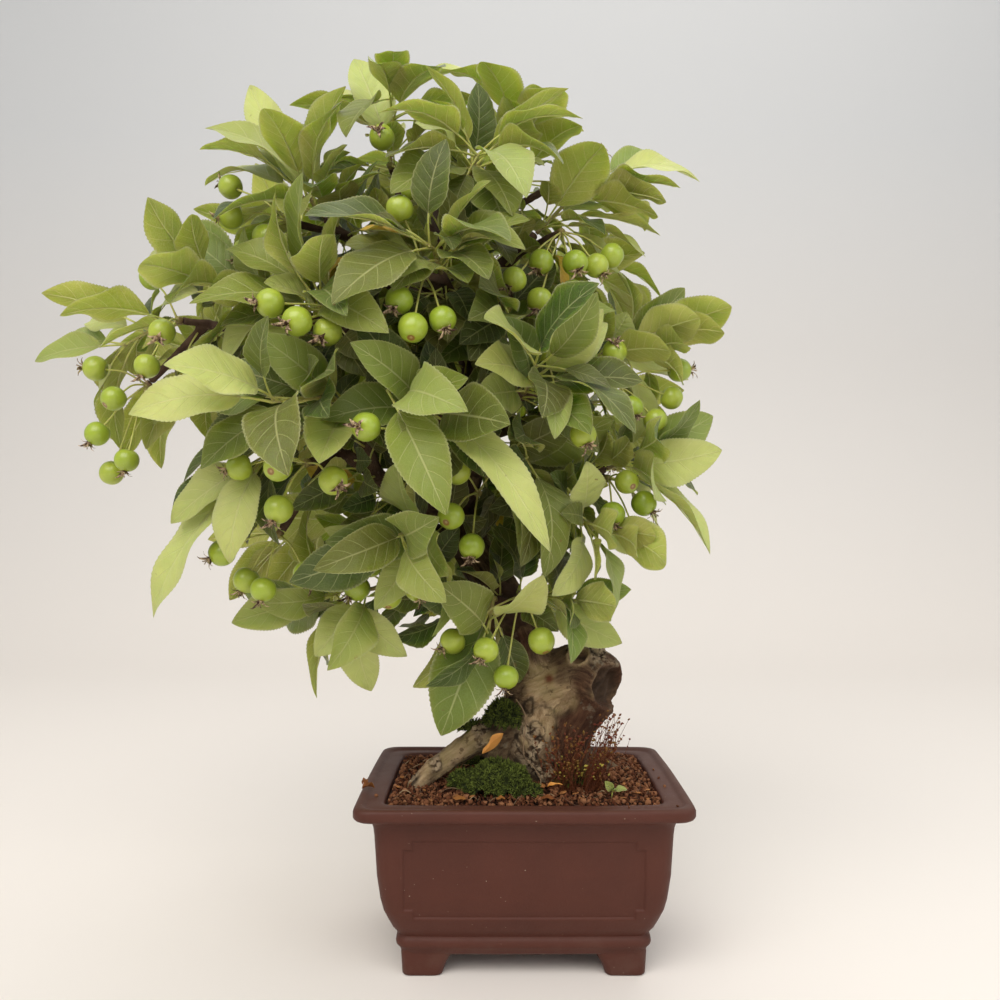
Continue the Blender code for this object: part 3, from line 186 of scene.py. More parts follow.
# Each fruit bunch: where its spur leaves the branch, where the spur ends, and its fruits.
BUNCHES = {
    "upper_right": ((-5, 0, 378), (19, -28, 382),
                    [(9, -45, 362), (26, -50, 360), (38, -38, 362), (47, -28, 370), (25, -45, 346),
                     (8, -50, 341), (-5, -52, 351)]),
    "top_right": ((-9, 7, 405), (18, -12, 414), [(37, -15, 428), (-16, -38, 400)]),
    "upper_left": ((-92, -20, 382), (-118, -42, 383),
                   [(-148, -50, 384), (-129, -56, 371), (-143, -42, 368), (-155, -28, 407)]),
    "center_left": ((-92, -42, 325), (-82, -74, 326),
                    [(-116, -98, 328), (-102, -106, 318), (-90, -98, 315)]),
    "front_upper": ((-40, -52, 351), (-47, -74, 347),
                    [(-58, -95, 330), (-51, -102, 316), (-38, -96, 321), (-59, -84, 376)]),
    "far_left": ((-167, -21, 335), (-179, -30, 335), [(-193, -42, 309), (-181, -54, 324), (-194, -34, 357)]),
    "tip_left": ((-170, -20, 335), (-201, -16, 305),
                 [(-230, -18, 312), (-215, -30, 294), (-226, -24, 276), (-211, -22, 262), (-224, -10, 256)]),
    "front_center": ((-41, -52, 281), (-52, -70, 268), [(-71, -108, 271), (-49, -104, 262)]),
    "left_low": ((-92, -45, 264), (-104, -68, 258),
                 [(-135, -78, 255), (-115, -84, 235), (-113, -94, 254), (-88, -92, 248)]),
    "right_high": ((24, 4, 319.5), (48, -10, 306),
                   [(87, -6, 313), (82, -10, 297), (72, -16, 284), (58, -24, 290), (49, -24, 320)]),
    "front_right": ((-6, -38, 293), (14, -48, 295), [(28, -70, 271), (8, -66, 314)]),
    "right_mid": ((38, -1, 256), (45, -16, 253),
                  [(54, -34, 250), (46, -38, 233), (64, -26, 239), (61, -26, 220)]),
    "middle": ((-32, -4, 239), (-24, -32, 244),
               [(-33, -60, 254), (-9, -50, 258), (-36, -62, 232), (-26, -56, 217)]),
    "low_left": ((-55, -16, 200), (-65, -34, 213),
                 [(-76, -56, 208), (-53, -54, 196), (-67, -54, 192), (-84, -48, 196), (-96, -42, 204)]),
    "left_under": ((-96, -46, 266), (-122, -48, 225),
                   [(-149, -58, 214), (-139, -50, 200), (-128, -60, 196), (-106, -64, 204)]),
    "low_front": ((-8, -8, 182), (-2, -27, 190),
                  [(-36, -46, 169), (-19, -56, 166), (-9, -46, 151), (9, -44, 169)]),
    "top_left": ((-69, 0, 420), (-71, -16, 422), [(-74, -34, 431), (-58, -30, 404)]),
    "back_top": ((-50, 32, 412), (-34, 56, 418), [(-16, 78, 408), (-34, 88, 400), (-54, 82, 402)]),
    "back_left": ((-140, 45, 323), (-150, 66, 316), [(-178, 80, 300), (-158, 92, 292), (-136, 88, 302)]),
    "back_center": ((-60, 55, 347), (-48, 78, 344), [(-30, 100, 330), (-48, 108, 322), (-66, 100, 330)]),
    "back_right": ((20, 39, 293), (34, 62, 286), [(56, 78, 268), (36, 90, 264), (18, 80, 272)]),
}



# Pot, laid out round its middle.
POT_HALF = (85 * MM, 65 * MM)
POT_BOW = 0.7 * MM
RIM_CORNER = 8 * MM
BODY_CORNER = 7 * MM
# Each level's height and how far it lies inside the rim's outline, from the bottom up and down the inside.
POT_LEVELS = [
    (11, 23.2), (11.4, 22.2), (12.6, 21.3), (14.2, 20.7), (15, 20), (15.9, 19.5), (17.3, 19.3),
    (18.7, 19.5), (19.7, 20), (20.3, 20.5), (20.9, 20.6), (22.2, 19.7), (25, 17.8), (30, 15.6),
    (35, 13.6), (41, 12.2), (53, 10.6), (65, 9.9), (73, 9.4), (77.5, 8.9), (80, 8.2), (81.4, 7.2), (82.3, 6),
    (82.8, 4.4), (83.1, 2.6), (83.5, 1.3), (84.3, 0.4), (85.4, 0), (88.2, 0), (89.2, 0.4),
    (89.8, 1.2), (90, 2.4), (89.95, 3.4), (89.5, 4.4), (88.9, 5), (88.6, 5.8), (88.7, 7), (89, 9),
    (89.1, 11.4), (88.9, 12.8), (88.2, 13.7), (86.8, 14.2), (84, 14.5), (70, 16), (30, 21.5), (17, 26),
]
PANEL_HEIGHTS = (32 * MM, 72 * MM)
PANEL_HALVES = (60 * MM, 39 * MM)
PANEL_NOTCH = 4.5 * MM
FOOT_OUTER = (62.4 * MM, 42.6 * MM)
FOOT_SPAN = ((28 * MM, 21.5 * MM), (20.5 * MM, 16.5 * MM))
FOOT_TOP = 13.5 * MM
FOOT_CORNER = 4 * MM
DRAIN_RADIUS = 6 * MM
DRAIN_X = 28 * MM
PANEL_DEPTH = 1 * MM
CORNER_POINTS = 12


def stops(half):
    """Places along half a side, close together where a panel's edge or notch is."""
    places = [2 * MM * k for k in range(int((half - PANEL_NOTCH - 1.2 * MM) / (2 * MM)) + 1)]
    return places + [edge + step * MM for edge in (half - PANEL_NOTCH, half) for step in (-0.75, -0.3, 0.15, 0.6)]


PANEL_STOPS = [stops(half) for half in PANEL_HALVES]
FOOT_LEVELS = [(0, 0.9), (0.3, 0.35), (0.9, 0), (3, 0), (6, 0), (9, 0), (11.5, 0), (13.5, 0.2)]

# Soil surface, as in the solids.
SOIL_EDGE = 86.2 * MM
SOIL_MOUND = 7.5 * MM
MOUND_MIDDLE = (10 * MM, 5 * MM)
MOUND_REACH = (48 * MM, 36 * MM)
# The corners of a grid cell, in order.
SQUARE = ((0, 0), (1, 0), (1, 1), (0, 1))

# Twigs and leaves: the rule that the solids were grown by, with the same seeds.
TWIG_RADII = (1.5 * MM, 1.3 * MM, 1.1 * MM, 0.8 * MM)
SEAT_GAP = 0.35 * MM
TWIG_STRAIGHT = 5 * MM
TWIG_BOW_AT = 0.55
TWIG_BOW = 2.5 * MM
STALK = 14 * MM
LEAF_LENGTH = (40 * MM, 54 * MM)
LEAF_WIDTH_SHARE = (0.5, 0.6)
LEAF_FOLD = 0.3
LEAF_ARCH = 0.1
LEAF_WAVE = 0.16
WAVES = 9.5
WAVE_SHIFT = 1.9
OUTLINE_BASE = 0.62
OUTLINE_TIP = 0.85
OUTLINE_PEAK = 0.368
FACE_UP = 0.55
FACE_OUT = 0.75
FACE_FRONT = 0.6
FACE_CHANCE = 0.35
FOLD_SPREAD = (0.5, 1.3)
ARCH_SPREAD = (0.4, 1.6)
WAVE_SPREAD = (0.6, 1.4)
GOLDEN_ANGLE = 2.4
ANGLE_STEP = 0.9
ANGLE_CHANCE = 0.4
TWIG_BARE = 0.25
HEADING_ROUND = 0.85
HEADING_AHEAD = 0.35
HEADING_OUT = 0.4
HEADING_DOWN = (0.05, 0.6)
SHORTER_EACH_TIME = 0.015
SHOWN_SHARES = [0.3, 0.45, 0.6, 0.75, 0.9, 1.0]
SHOWN_REACH = 1.9
SHOWN_NUDGE = 1.4 * MM
FRUIT_RADIUS = 6.6 * MM
FRUIT_NUDGE = 0.8 * MM
PEDICEL_ARCH = 3 * MM
KNOB_LENGTH = 3.6 * MM
KNOB_ROOT = 0.6
ATTEMPTS = 26
SHOWN_SEED = 7000
RULED_SEED = 9000
FRUIT_SEED = 500
LEAVES_A_SPRAY = 40
FIRST_RULED = 20
FRUITS_A_BUNCH = 20
CROWN_MIDDLE = (-60 * MM, 0, 315 * MM)
CROWN_HEART = (-74 * MM, 4 * MM, 306 * MM)
CROWN_REACH = (190 * MM, 148 * MM, 173 * MM)
CROWN_ROUNDNESS = 2.3
SHOWN_EDGE = (0.12, 0.36, 0.64, 0.86)
PLAIN_EDGE = (0.16, 0.5, 0.82)
LEAF_TOOTH = 0.045
LEAF_RIM_ANGLE = math.radians(70)
STUMP_HOLLOW = ((48, -20, 141), (37, -6, 141))
STUMP_MOUTH = 11.5 * MM
STUMP_DEPTH = 7 * MM
STUMP_FLARE = [(40, -9, 135, 13), (30, -6, 119, 10.5), (23, -4, 100, 11.5)]
# Balls (x, y, z, radius) of the bark's kinds: flaky, smooth and pale, smooth and ruddy with painted shade (at the
# trunk's neck and round and under the stump).
FLAKY_SPOTS = [(41, -8, 160, 12), (28, -14, 164, 8), (3, -22, 112, 9), (13, -22, 99, 9), (6, -22, 106, 8),
               (-22, -12, 114, 7), (-43, -16, 100, 6), (-60, -17, 88, 7)]
PALE_SPOTS = [(12, -16, 141, 11), (20, -17, 135, 9), (6, -18, 147, 7), (-24, -14, 111, 9), (-34, -14, 105, 9),
              (-45, -16, 98, 9), (-55, -18, 91, 8), (10, -18, 122, 8), (2, -22, 118, 7)]
RUDDY_AND_SHADED_SPOTS = [(-2, -8, 163, 8), (34, -14, 128, 13), (28, -14, 116, 12), (40, -10, 134, 10),
               (24, -14, 104, 12), (35, -17, 144, 8), (50, -18, 150, 9), (47, -22, 134, 8), (56, -14, 142, 10)]
STAIN = (13.7, -18, 145.5, 2.9)
# Knots (x, y, z, radius, number of folds) round which the bark lies in rings.
BARK_KNOTS = [(2, -19, 131, 8, 2.2), (13, -24, 98, 7.5, 1.8), (22, -21, 151, 3, 1), (-2, -15, 140, 4, 1.2),
              (8, -22, 120, 6, 1.6)]
BARK_KINDS = ("girth", "crack", "dead", "pale", "flaky", "ruddy", "stain")
RING_SCAR = ((30, -17, 157.5), 5.6)
MOSS_SPOTS = [((-14, -30, 87), (17, 11, 18)), ((-29, -22, 89), (10, 8, 9)), ((-11, -14, 118), (10, 9, 15)),
              ((1, -36, 88), (8, 6, 7)), ((24, -24, 92), (9, 7, 9)), ((-27, 16, 88), (12, 9, 7)),
              ((-27, -8, 115), (8, 5, 6))]
LONG_ROOTLET = [(-3.5, -25, 136), (0, -27, 131), (1.6, -28, 125.7), (0.5, -28, 115), (0.7, -28, 107), (6, -30, 101),
                (9, -33, 96), (8, -36, 91.5), (5, -38, 90)]
# Each fallen leaf: stalk's root, tip, width, the way it faces, stalk, fold, arch, wave and droop.
FALLEN_LEAVES = [
    ((-9.5, -36.5, 123.5), (-21, -39.5, 111), 9, (-0.62, -0.25, 0.72), 2.5, 0.95, -0.17, 0.15, 0),
    ((-84, -33, 91), (-77, -30, 91), 5.5, (0, -0.3, 1), 0.5, 1.0, 0.2, 0.4, 0),
    ((-84, -29, 92), (-80, -34, 95), 3.5, (0.4, -0.4, 1), 0.5, 1.0, 0.2, 0.4, 0),
    ((-36, -44, 90), (-29, -46, 90), 5, (0, -0.15, 1), 0.3, 0.1, 0.05, 0.1, 0),
    ((8, -46, 90.4), (16, -46, 90), 4, (0, -0.2, 1), 0.3, 0.2, 0.1, 0.2, 0),
    ((-9, -45, 90), (-14, -47, 90.3), 3.4, (0, -0.2, 1), 0.3, 0.2, 0.1, 0.2, 0),
    ((10, -41, 93), (20, -42, 96), 2.4, (0, -0.6, 1), 2, 0.9, 0.2, 0.5, 0),
]
LITTER_TONES = [0.85, 0.15, 0.1, 0.3, 0.1, 0.3, 1.0]
CAMERA_SPOT = (-0.012, -0.51, 0.229)
CAMERA_PITCH = 1.4
CAMERA_LENS = 33
STAGE_LIGHTS = [
    ("key", (-0.4, -1.1, 1.35), (1.6, 1.2), 19.0, (1.0, 0.97, 0.93)),
    ("fill", (1.1, -0.7, 0.8), (1.2, 1.2), 4.5, (0.95, 0.98, 1.0)),
    ("back", (0.3, 0.9, 2.3), (2.0, 1.4), 13.0, (1.0, 0.98, 0.95)),
]
LEAF_FIT = 0.75 * MM
FRUIT_FIT = 4.8 * MM
# Along each leaf's stalk and midrib: share of the blade, thickness, depth beneath the blade, youth.
STALK_STATIONS = [
    (-1, 0.85, 0, 0.75), (-0.75, 0.62, 0, 1.0), (-0.5, 0.56, 0, 1.0), (-0.25, 0.54, 0, 1.0), (0, 0.56, 0.25, 1.2),
    (0.2, 0.44, 0.28, 1.5), (0.45, 0.34, 0.32, 1.5), (0.7, 0.25, 0.33, 1.5), (0.92, 0.12, 0.24, 1.5)]


# ---- general helpers

def place(spot):
    """A list's place in millimetres as a point in metres."""
    return Vector(spot[:3]) * MM


def in_metres(rows):
    return [tuple(value * MM for value in row) for row in rows]


def smoothstep(low, high, value):
    share = min(max((value - low) / (high - low), 0), 1)
    return share * share * (3 - 2 * share)


def round_steps(count, whole=2 * math.pi):
    """Even steps of an angle, the last one short of the whole."""
    return [whole * k / count for k in range(count)]


def new_object(name, data):
    obj = bpy.data.objects.new(name, data)
    bpy.context.scene.collection.objects.link(obj)
    return obj


def smoothed(mesh):
    mesh.polygons.foreach_set("use_smooth", [True] * len(mesh.polygons))
    return mesh


def mesh_object(name, verts, faces, edges=()):
    mesh = bpy.data.meshes.new(name)
    mesh.from_pydata([tuple(v) for v in verts], edges, faces)
    return new_object(name, smoothed(mesh))


def shape_object(name, shape):
    """An object of a BMesh, which is freed."""
    mesh = bpy.data.meshes.new(name)
    shape.to_mesh(mesh)
    shape.free()
    return new_object(name, mesh)


def copied(obj):
    return new_object(obj.name, obj.data.copy())


def removed(*objects):
    for obj in objects:
        bpy.data.objects.remove(obj)


def outward_faces(mesh):
    shape = bmesh.new()
    shape.from_mesh(mesh)
    bmesh.ops.recalc_face_normals(shape, faces=shape.faces)
    shape.to_mesh(mesh)
    shape.free()


def baked(obj):
    """Replaces an object's mesh by what its modifiers make of it, and clears them."""
    bpy.context.view_layer.update()
    graph = bpy.context.evaluated_depsgraph_get()
    mesh = bpy.data.meshes.new_from_object(obj.evaluated_get(graph))
    obj.modifiers.clear()
    obj.data = mesh
    return obj


def coated(obj, material):
    """Gives an object one finish all over."""
    obj.data.materials.clear()
    obj.data.materials.append(material)
    return obj


def finish_piece(obj, slot, *nodes):
    """Moves a finished mesh into the solids' frame, hangs it on the body and hides the solids it stands for."""
    obj.data.transform(Matrix.Translation(HOME))
    obj.data.name = obj.name
    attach(obj, BODY)
    if nodes:
        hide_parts(*nodes)


def set_point_values(mesh, name, values, kind="FLOAT"):
    layer = mesh.attributes.new(name, kind, "POINT")
    if kind == "FLOAT":
        layer.data.foreach_set("value", values)
    else:
        layer.data.foreach_set("vector", [part for value in values for part in value])


def catmull(points, steps):
    """A smooth line through points given as tuples of any length, with steps between each two."""
    out, last = [], len(points) - 1
    for i in range(last):
        near = points[max(i - 1, 0)], points[i], points[i + 1], points[min(i + 2, last)]
        for t in round_steps(steps, 1):
            out.append(tuple(0.5 * (2 * b + (c - a) * t + (2 * a - 5 * b + 4 * c - d) * t * t
                                    + (3 * b - a - 3 * c + d) * t * t * t) for a, b, c, d in zip(*near)))
    return out + [tuple(points[-1])]


def smooth_limb(rows, steps):
    """A smooth line in metres through places in millimetres."""
    return catmull(in_metres(rows), steps)


# ---- where the solids' twigs, leaves and fruits are

def twig_route(name):
    end = place(BRANCHES[name][-1])
    ahead = (end - place(BRANCHES[name][-2])).normalized()
    tip = place(SPRAYS[name][0])
    start = end + ahead * SEAT_GAP
    straight = start + ahead * TWIG_STRAIGHT
    return [start, straight, straight.lerp(tip, TWIG_BOW_AT) + UP * TWIG_BOW, tip]


def along(route, share):
    steps = len(route) - 1
    index = min(int(share * steps), steps - 1)
    ahead = (route[index + 1] - route[index]).normalized()
    return route[index].lerp(route[index + 1], share * steps - index), ahead


def leaf_outline(share):
    return (share ** OUTLINE_BASE) * ((1 - share) ** OUTLINE_TIP) / OUTLINE_PEAK


def blade_outline(share):
    """The finer blade's outline, drawn in a little towards its stalk."""
    return leaf_outline(share) * (1 - 0.3 * (1 - share) ** 9)


class Leaf:
    """One leaf: its stalk's root, its tip, and how its blade is turned, folded and waved."""

    def __init__(self, root, tip, width, draw, front):
        outward = (root - Vector(CROWN_MIDDLE)).normalized()
        facing = UP * FACE_UP + outward * FACE_OUT - Vector((0, FACE_FRONT, 0)) * front
        facing += Vector((draw.uniform(-1, 1), draw.uniform(-1, 1), draw.uniform(-0.4, 0.4))) * FACE_CHANCE
        self.root, self.tip, self.width, self.stalk = root, tip, width, STALK
        self.fold = LEAF_FOLD * draw.uniform(*FOLD_SPREAD)
        self.arch = LEAF_ARCH * draw.uniform(*ARCH_SPREAD)
        self.wave = LEAF_WAVE * draw.uniform(*WAVE_SPREAD)
        self.phase = draw.uniform(0, 2 * math.pi)
        self.length = (tip - root).length
        self.axis = (tip - root) / self.length
        self.turn_to(facing)
        self.shown = front == 1
        self.droop = 0.03 * self.length

    def turn_to(self, facing):
        self.side = self.axis.cross(facing).normalized()
        self.up = self.side.cross(self.axis)

    def point(self, share, across):
        run = (self.stalk + (self.length - self.stalk) * share) / self.length
        if share < 0:
            run = self.stalk / self.length * (1 + share)
        half = self.width / 2 * leaf_outline(min(max(share, 0), 1))
        ripple = self.wave * math.sin(WAVES * share + self.phase + (WAVE_SHIFT if across > 0 else 0))
        rise = half * (abs(across) * math.sin(self.fold) + across * across * ripple)
        rise += self.arch * self.length * math.sin(math.pi * run)
        out = across * half * math.cos(self.fold)
        return self.root + self.axis * (self.length * run) + self.side * out + self.up * rise


def shown_leaf(route, spot, number, attempt):
    draw = random.Random(SHOWN_SEED * number + attempt)
    nudge = Vector((draw.uniform(-1, 1), draw.uniform(-2, 2), draw.uniform(-1, 1)))
    tip = place(spot) + nudge * (SHOWN_NUDGE * attempt)
    width = spot[3] * MM
    wanted = STALK + SHOWN_REACH * width
    share = min(SHOWN_SHARES, key=lambda s: abs((along(route, s)[0] - tip).length - wanted))
    return Leaf(along(route, share)[0], tip, width, draw, 1)


def ruled_leaf(route, rank, count, number, attempt):
    draw = random.Random(RULED_SEED * number + attempt)
    share = TWIG_BARE + (1 - TWIG_BARE) * (rank + draw.uniform(0.2, 0.8)) / count
    root, ahead = along(route, share)
    first = ahead.cross(UP).normalized()
    second = first.cross(ahead)
    angle = GOLDEN_ANGLE * rank + ANGLE_STEP * attempt + draw.uniform(-ANGLE_CHANCE, ANGLE_CHANCE)
    outward = (root - Vector(CROWN_MIDDLE)).normalized()
    heading = (first * math.cos(angle) + second * math.sin(angle)) * HEADING_ROUND
    heading += ahead * HEADING_AHEAD + outward * HEADING_OUT - UP * draw.uniform(*HEADING_DOWN)
    length = draw.uniform(*LEAF_LENGTH) * (1 - SHORTER_EACH_TIME * attempt)
    width = length * draw.uniform(*LEAF_WIDTH_SHARE)
    return Leaf(root, root + heading.normalized() * (length + STALK), width, draw, 0)


def in_crown(point):
    return sum(abs((value - middle) / reach) ** CROWN_ROUNDNESS
               for value, middle, reach in zip(point, CROWN_HEART, CROWN_REACH)) < 1


def solid_shape(node):
    """A solid's corners and faces in the plant's own frame."""
    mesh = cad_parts[node].data
    return [v.co - HOME for v in mesh.vertices], [tuple(p.vertices) for p in mesh.polygons]


def misfit(leaf, tree):
    """How far the better half of a leaf's corners lies from the solid, which has lost a few."""
    stations = SHOWN_EDGE if leaf.shown else PLAIN_EDGE
    probes = [leaf.tip] + [leaf.point(share, across) for share in stations for across in (-1, 1)]
    gaps = sorted(tree.find_nearest(probe)[3] for probe in probes)
    better = gaps[:(len(gaps) + 1) // 2]
    return sum(better) / len(better)


def leaves_of(name, number):
    """The leaves that the spray's solid holds: of each leaf's tries, the one that fits it."""
    _, count, spots = SPRAYS[name]
    route = twig_route(name)
    tree = BVHTree.FromPolygons(*solid_shape("spray_" + name))
    found = []
    for shown in (True, False):
        for rank in range(len(spots) if shown else count):
            key = LEAVES_A_SPRAY * number + rank
            best = LEAF_FIT, None
            for attempt in range(ATTEMPTS):
                if shown:
                    leaf = shown_leaf(route, spots[rank], key, attempt)
                else:
                    leaf = ruled_leaf(route, rank, count, key + FIRST_RULED, attempt)
                if shown or in_crown(leaf.tip):
                    best = min(best, (misfit(leaf, tree), leaf), key=lambda pair: pair[0])
            if best[1]:
                found.append(best[1])
    return route, found


def fruit_in_solid(tree, centre):
    """How deep a point lies inside a fruit of the solid: 0 where it lies outside."""
    for axis in (Vector((1, 0, 0)), Vector((0, 1, 0)), UP):
        for way in (axis, -axis):
            distance = tree.ray_cast(centre, way)[3]
            if distance is None or distance > 1.5 * FRUIT_RADIUS:
                return 0
    return tree.find_nearest(centre)[3]


def fruits_of(name, number):
    """Where the bunch's stalks start and the fruits that its solid holds."""
    start, end, spots = BUNCHES[name]
    ahead = (place(end) - place(start)).normalized()
    foot = place(end) + ahead * SEAT_GAP
    tree = BVHTree.FromPolygons(*solid_shape("fruit_" + name))
    found = []
    for rank, spot in enumerate(spots):
        best = FRUIT_FIT, None
        for attempt in range(ATTEMPTS):
            draw = random.Random(FRUIT_SEED * number + FRUITS_A_BUNCH * rank + attempt)
            nudge = Vector((draw.uniform(-1, 1), draw.uniform(-1.6, 1.6), draw.uniform(-1, 1)))
            centre = place(spot) + nudge * (FRUIT_NUDGE * attempt)
            best = max(best, (fruit_in_solid(tree, centre), centre), key=lambda pair: pair[0])
        if best[1]:
            found.append(best[1])
    return foot, ahead, foot + ahead * KNOB_LENGTH * KNOB_ROOT, found


# ---- node trees

def pick_socket(sockets, key):
    if isinstance(key, int):
        return sockets[key]
    return next((socket for socket in sockets if socket.name == key and socket.enabled), None) or sockets[key]


class Wire:
    """A node's output, which sums can be written with."""

    def __init__(self, recipe, socket):
        self.recipe, self.socket = recipe, socket

    def sum(self, operation, *others, clamp=False):
        inputs = {0: self, **dict(enumerate(others, 1))}
        return self.recipe.out("ShaderNodeMath", inputs, operation=operation, use_clamp=clamp)

    def __add__(self, other):
        return self.sum("ADD", other)

    def __sub__(self, other):
        return self.sum("SUBTRACT", other)

    def __mul__(self, other):
        return self.sum("MULTIPLY", other)

    def __truediv__(self, other):
        return self.sum("DIVIDE", other)

    __radd__, __rmul__ = __add__, __mul__


class Recipe:
    """A node tree in the making; its methods give wires."""

    def __init__(self, tree):
        self.tree = tree

    def node(self, kind, inputs=None, **settings):
        node = self.tree.nodes.new(kind)
        for name, value in settings.items():
            setattr(node, name, value)
        for key, value in (inputs or {}).items():
            self.plug(value, pick_socket(node.inputs, key))
        return node

    def plug(self, value, socket):
        """Links a wire to a socket, or sets the socket's own value."""
        if isinstance(value, Wire):
            self.tree.links.new(value.socket, socket)
        elif socket.type == "RGBA":
            socket.default_value = (*value, 1)
        else:
            socket.default_value = value

    def outs(self, kind, inputs=None, **settings):
        return [Wire(self, socket) for socket in self.node(kind, inputs, **settings).outputs]

    def out(self, kind, inputs=None, key=0, **settings):
        return Wire(self, self.node(kind, inputs, **settings).outputs[key])

    def span(self, value, low=0.0, high=1.0, first=0.0, last=1.0, **settings):
        """A value's place between low and high, told between first and last."""
        return self.out("ShaderNodeMapRange", {0: value, 1: low, 2: high, 3: first, 4: last}, **settings)

    def parts(self, vector):
        return self.outs("ShaderNodeSeparateXYZ", {0: vector})

    def cells(self, where, scale, **settings):
        return self.outs("ShaderNodeTexVoronoi", {"Vector": where, "Scale": scale}, **settings)

    def cloud(self, where, scale, detail=4.0, roughness=0.5, key=0):
        return self.out("ShaderNodeTexNoise", {
            "Vector": where, "Scale": scale, "Detail": detail, "Roughness": roughness}, key)


class NodeGroup(Recipe):
    """A node group with named sockets; its inputs are its attributes, in lower case with underscores."""

    KINDS = {float: "Float", tuple: "Vector", int: "Int"}

    def __init__(self, name, family, inputs, outputs):
        super().__init__(bpy.data.node_groups.new(name, family + "NodeTree"))
        for side, sockets in (("INPUT", inputs), ("OUTPUT", dict.fromkeys(outputs.split(), 0.0))):
            for label, value in sockets.items():
                kind = value if isinstance(value, str) else self.KINDS[type(value)]
                if side == "OUTPUT" and family == "Geometry":
                    kind = "Geometry"
                socket = self.tree.interface.new_socket(label, in_out=side, socket_type="NodeSocket" + kind)
                if kind != "Geometry" and not isinstance(value, str):
                    socket.default_value = value
        for label, socket in self.tree.nodes.new("NodeGroupInput").outputs.items():
            if label:
                setattr(self, label.lower().replace(" ", "_"), Wire(self, socket))
        self.end = self.tree.nodes.new("NodeGroupOutput")

    def give(self, **results):
        for label, wire in results.items():
            self.plug(wire, self.end.inputs[label.replace("_", " ")])
        return self.tree


def patches_group():
    """Soft-edged patches from noise: 1 inside them, 0 outside."""
    g = NodeGroup("patches", "Shader", {"Vector": (0.0, 0.0, 0.0), "Scale": 50.0, "Middle": 0.5, "Softness": 0.1},
                  "Mask")
    return g.give(Mask=g.span(g.cloud(g.vector, g.scale, 5.0, 0.6), g.middle - g.softness, g.middle + g.softness,
                              interpolation_type="SMOOTHSTEP"))


def specks_group():
    """Small round specks scattered at random; only a share of the cells holds one."""
    g = NodeGroup("specks", "Shader", {"Vector": (0.0, 0.0, 0.0), "Scale": 300.0, "Size": 0.2, "Share": 0.3}, "Mask")
    distance, colour, *_ = g.cells(g.vector, g.scale)
    chosen = g.out("ShaderNodeSeparateColor", {0: colour}).sum("LESS_THAN", g.share)
    return g.give(Mask=distance.sum("LESS_THAN", g.size) * chosen)


def settled_dust_group():
    """How far a surface faces up, broken by noise, for dust, lichen and pale wear."""
    g = NodeGroup("settled_dust", "Shader", {"Vector": (0.0, 0.0, 0.0), "Scale": 40.0, "Low": 0.2, "High": 1.0},
                  "Mask")
    facing = g.parts(g.out("ShaderNodeNewGeometry", key="Normal"))[2]
    return g.give(Mask=g.span(facing + (g.cloud(g.vector, g.scale) - 0.5), g.low, g.high))


def leaf_veins_group():
    """Midrib and side veins on a blade's own map: U runs base to tip, V from edge to edge."""
    g = NodeGroup("leaf_veins", "Shader", {"Pairs": 8.0, "Sweep": 2.2, "Width": 0.05}, "Veins Relief Edge Net")
    flat = g.out("ShaderNodeUVMap", uv_map="blade")
    run, across, _ = g.parts(flat)
    off = (across * 2.0 + -1.0).sum("ABSOLUTE")
    rib = g.span(off, 0.015, 0.06, 1.0, 0.0, interpolation_type="SMOOTHSTEP")
    side = ((run * g.pairs - off * g.sweep).sum("FRACT") - 0.5).sum("ABSOLUTE")
    vein = g.span(side, (g.width * -1.0) + 0.5, 0.5, interpolation_type="SMOOTHSTEP")
    veins = rib.sum("MAXIMUM", vein * g.span(off, 0.4, 1.0, 1.0, 0.35))
    stretched = g.out("ShaderNodeMapping", {0: flat, 3: (1.9, 1.0, 1.0)})
    return g.give(Veins=veins, Relief=(side * (math.pi * 2)).sum("COSINE") * -0.22 + veins * -0.5,
                  Edge=g.span(off, 0.92, 0.99),
                  Net=g.span(g.cells(stretched, 17.0, feature="DISTANCE_TO_EDGE")[0], 0.0, 0.09, 1.0, 0.0))


# ---- materials

GROUPS = {"patches": patches_group, "specks": specks_group, "settled_dust": settled_dust_group,
          "leaf_veins": leaf_veins_group}


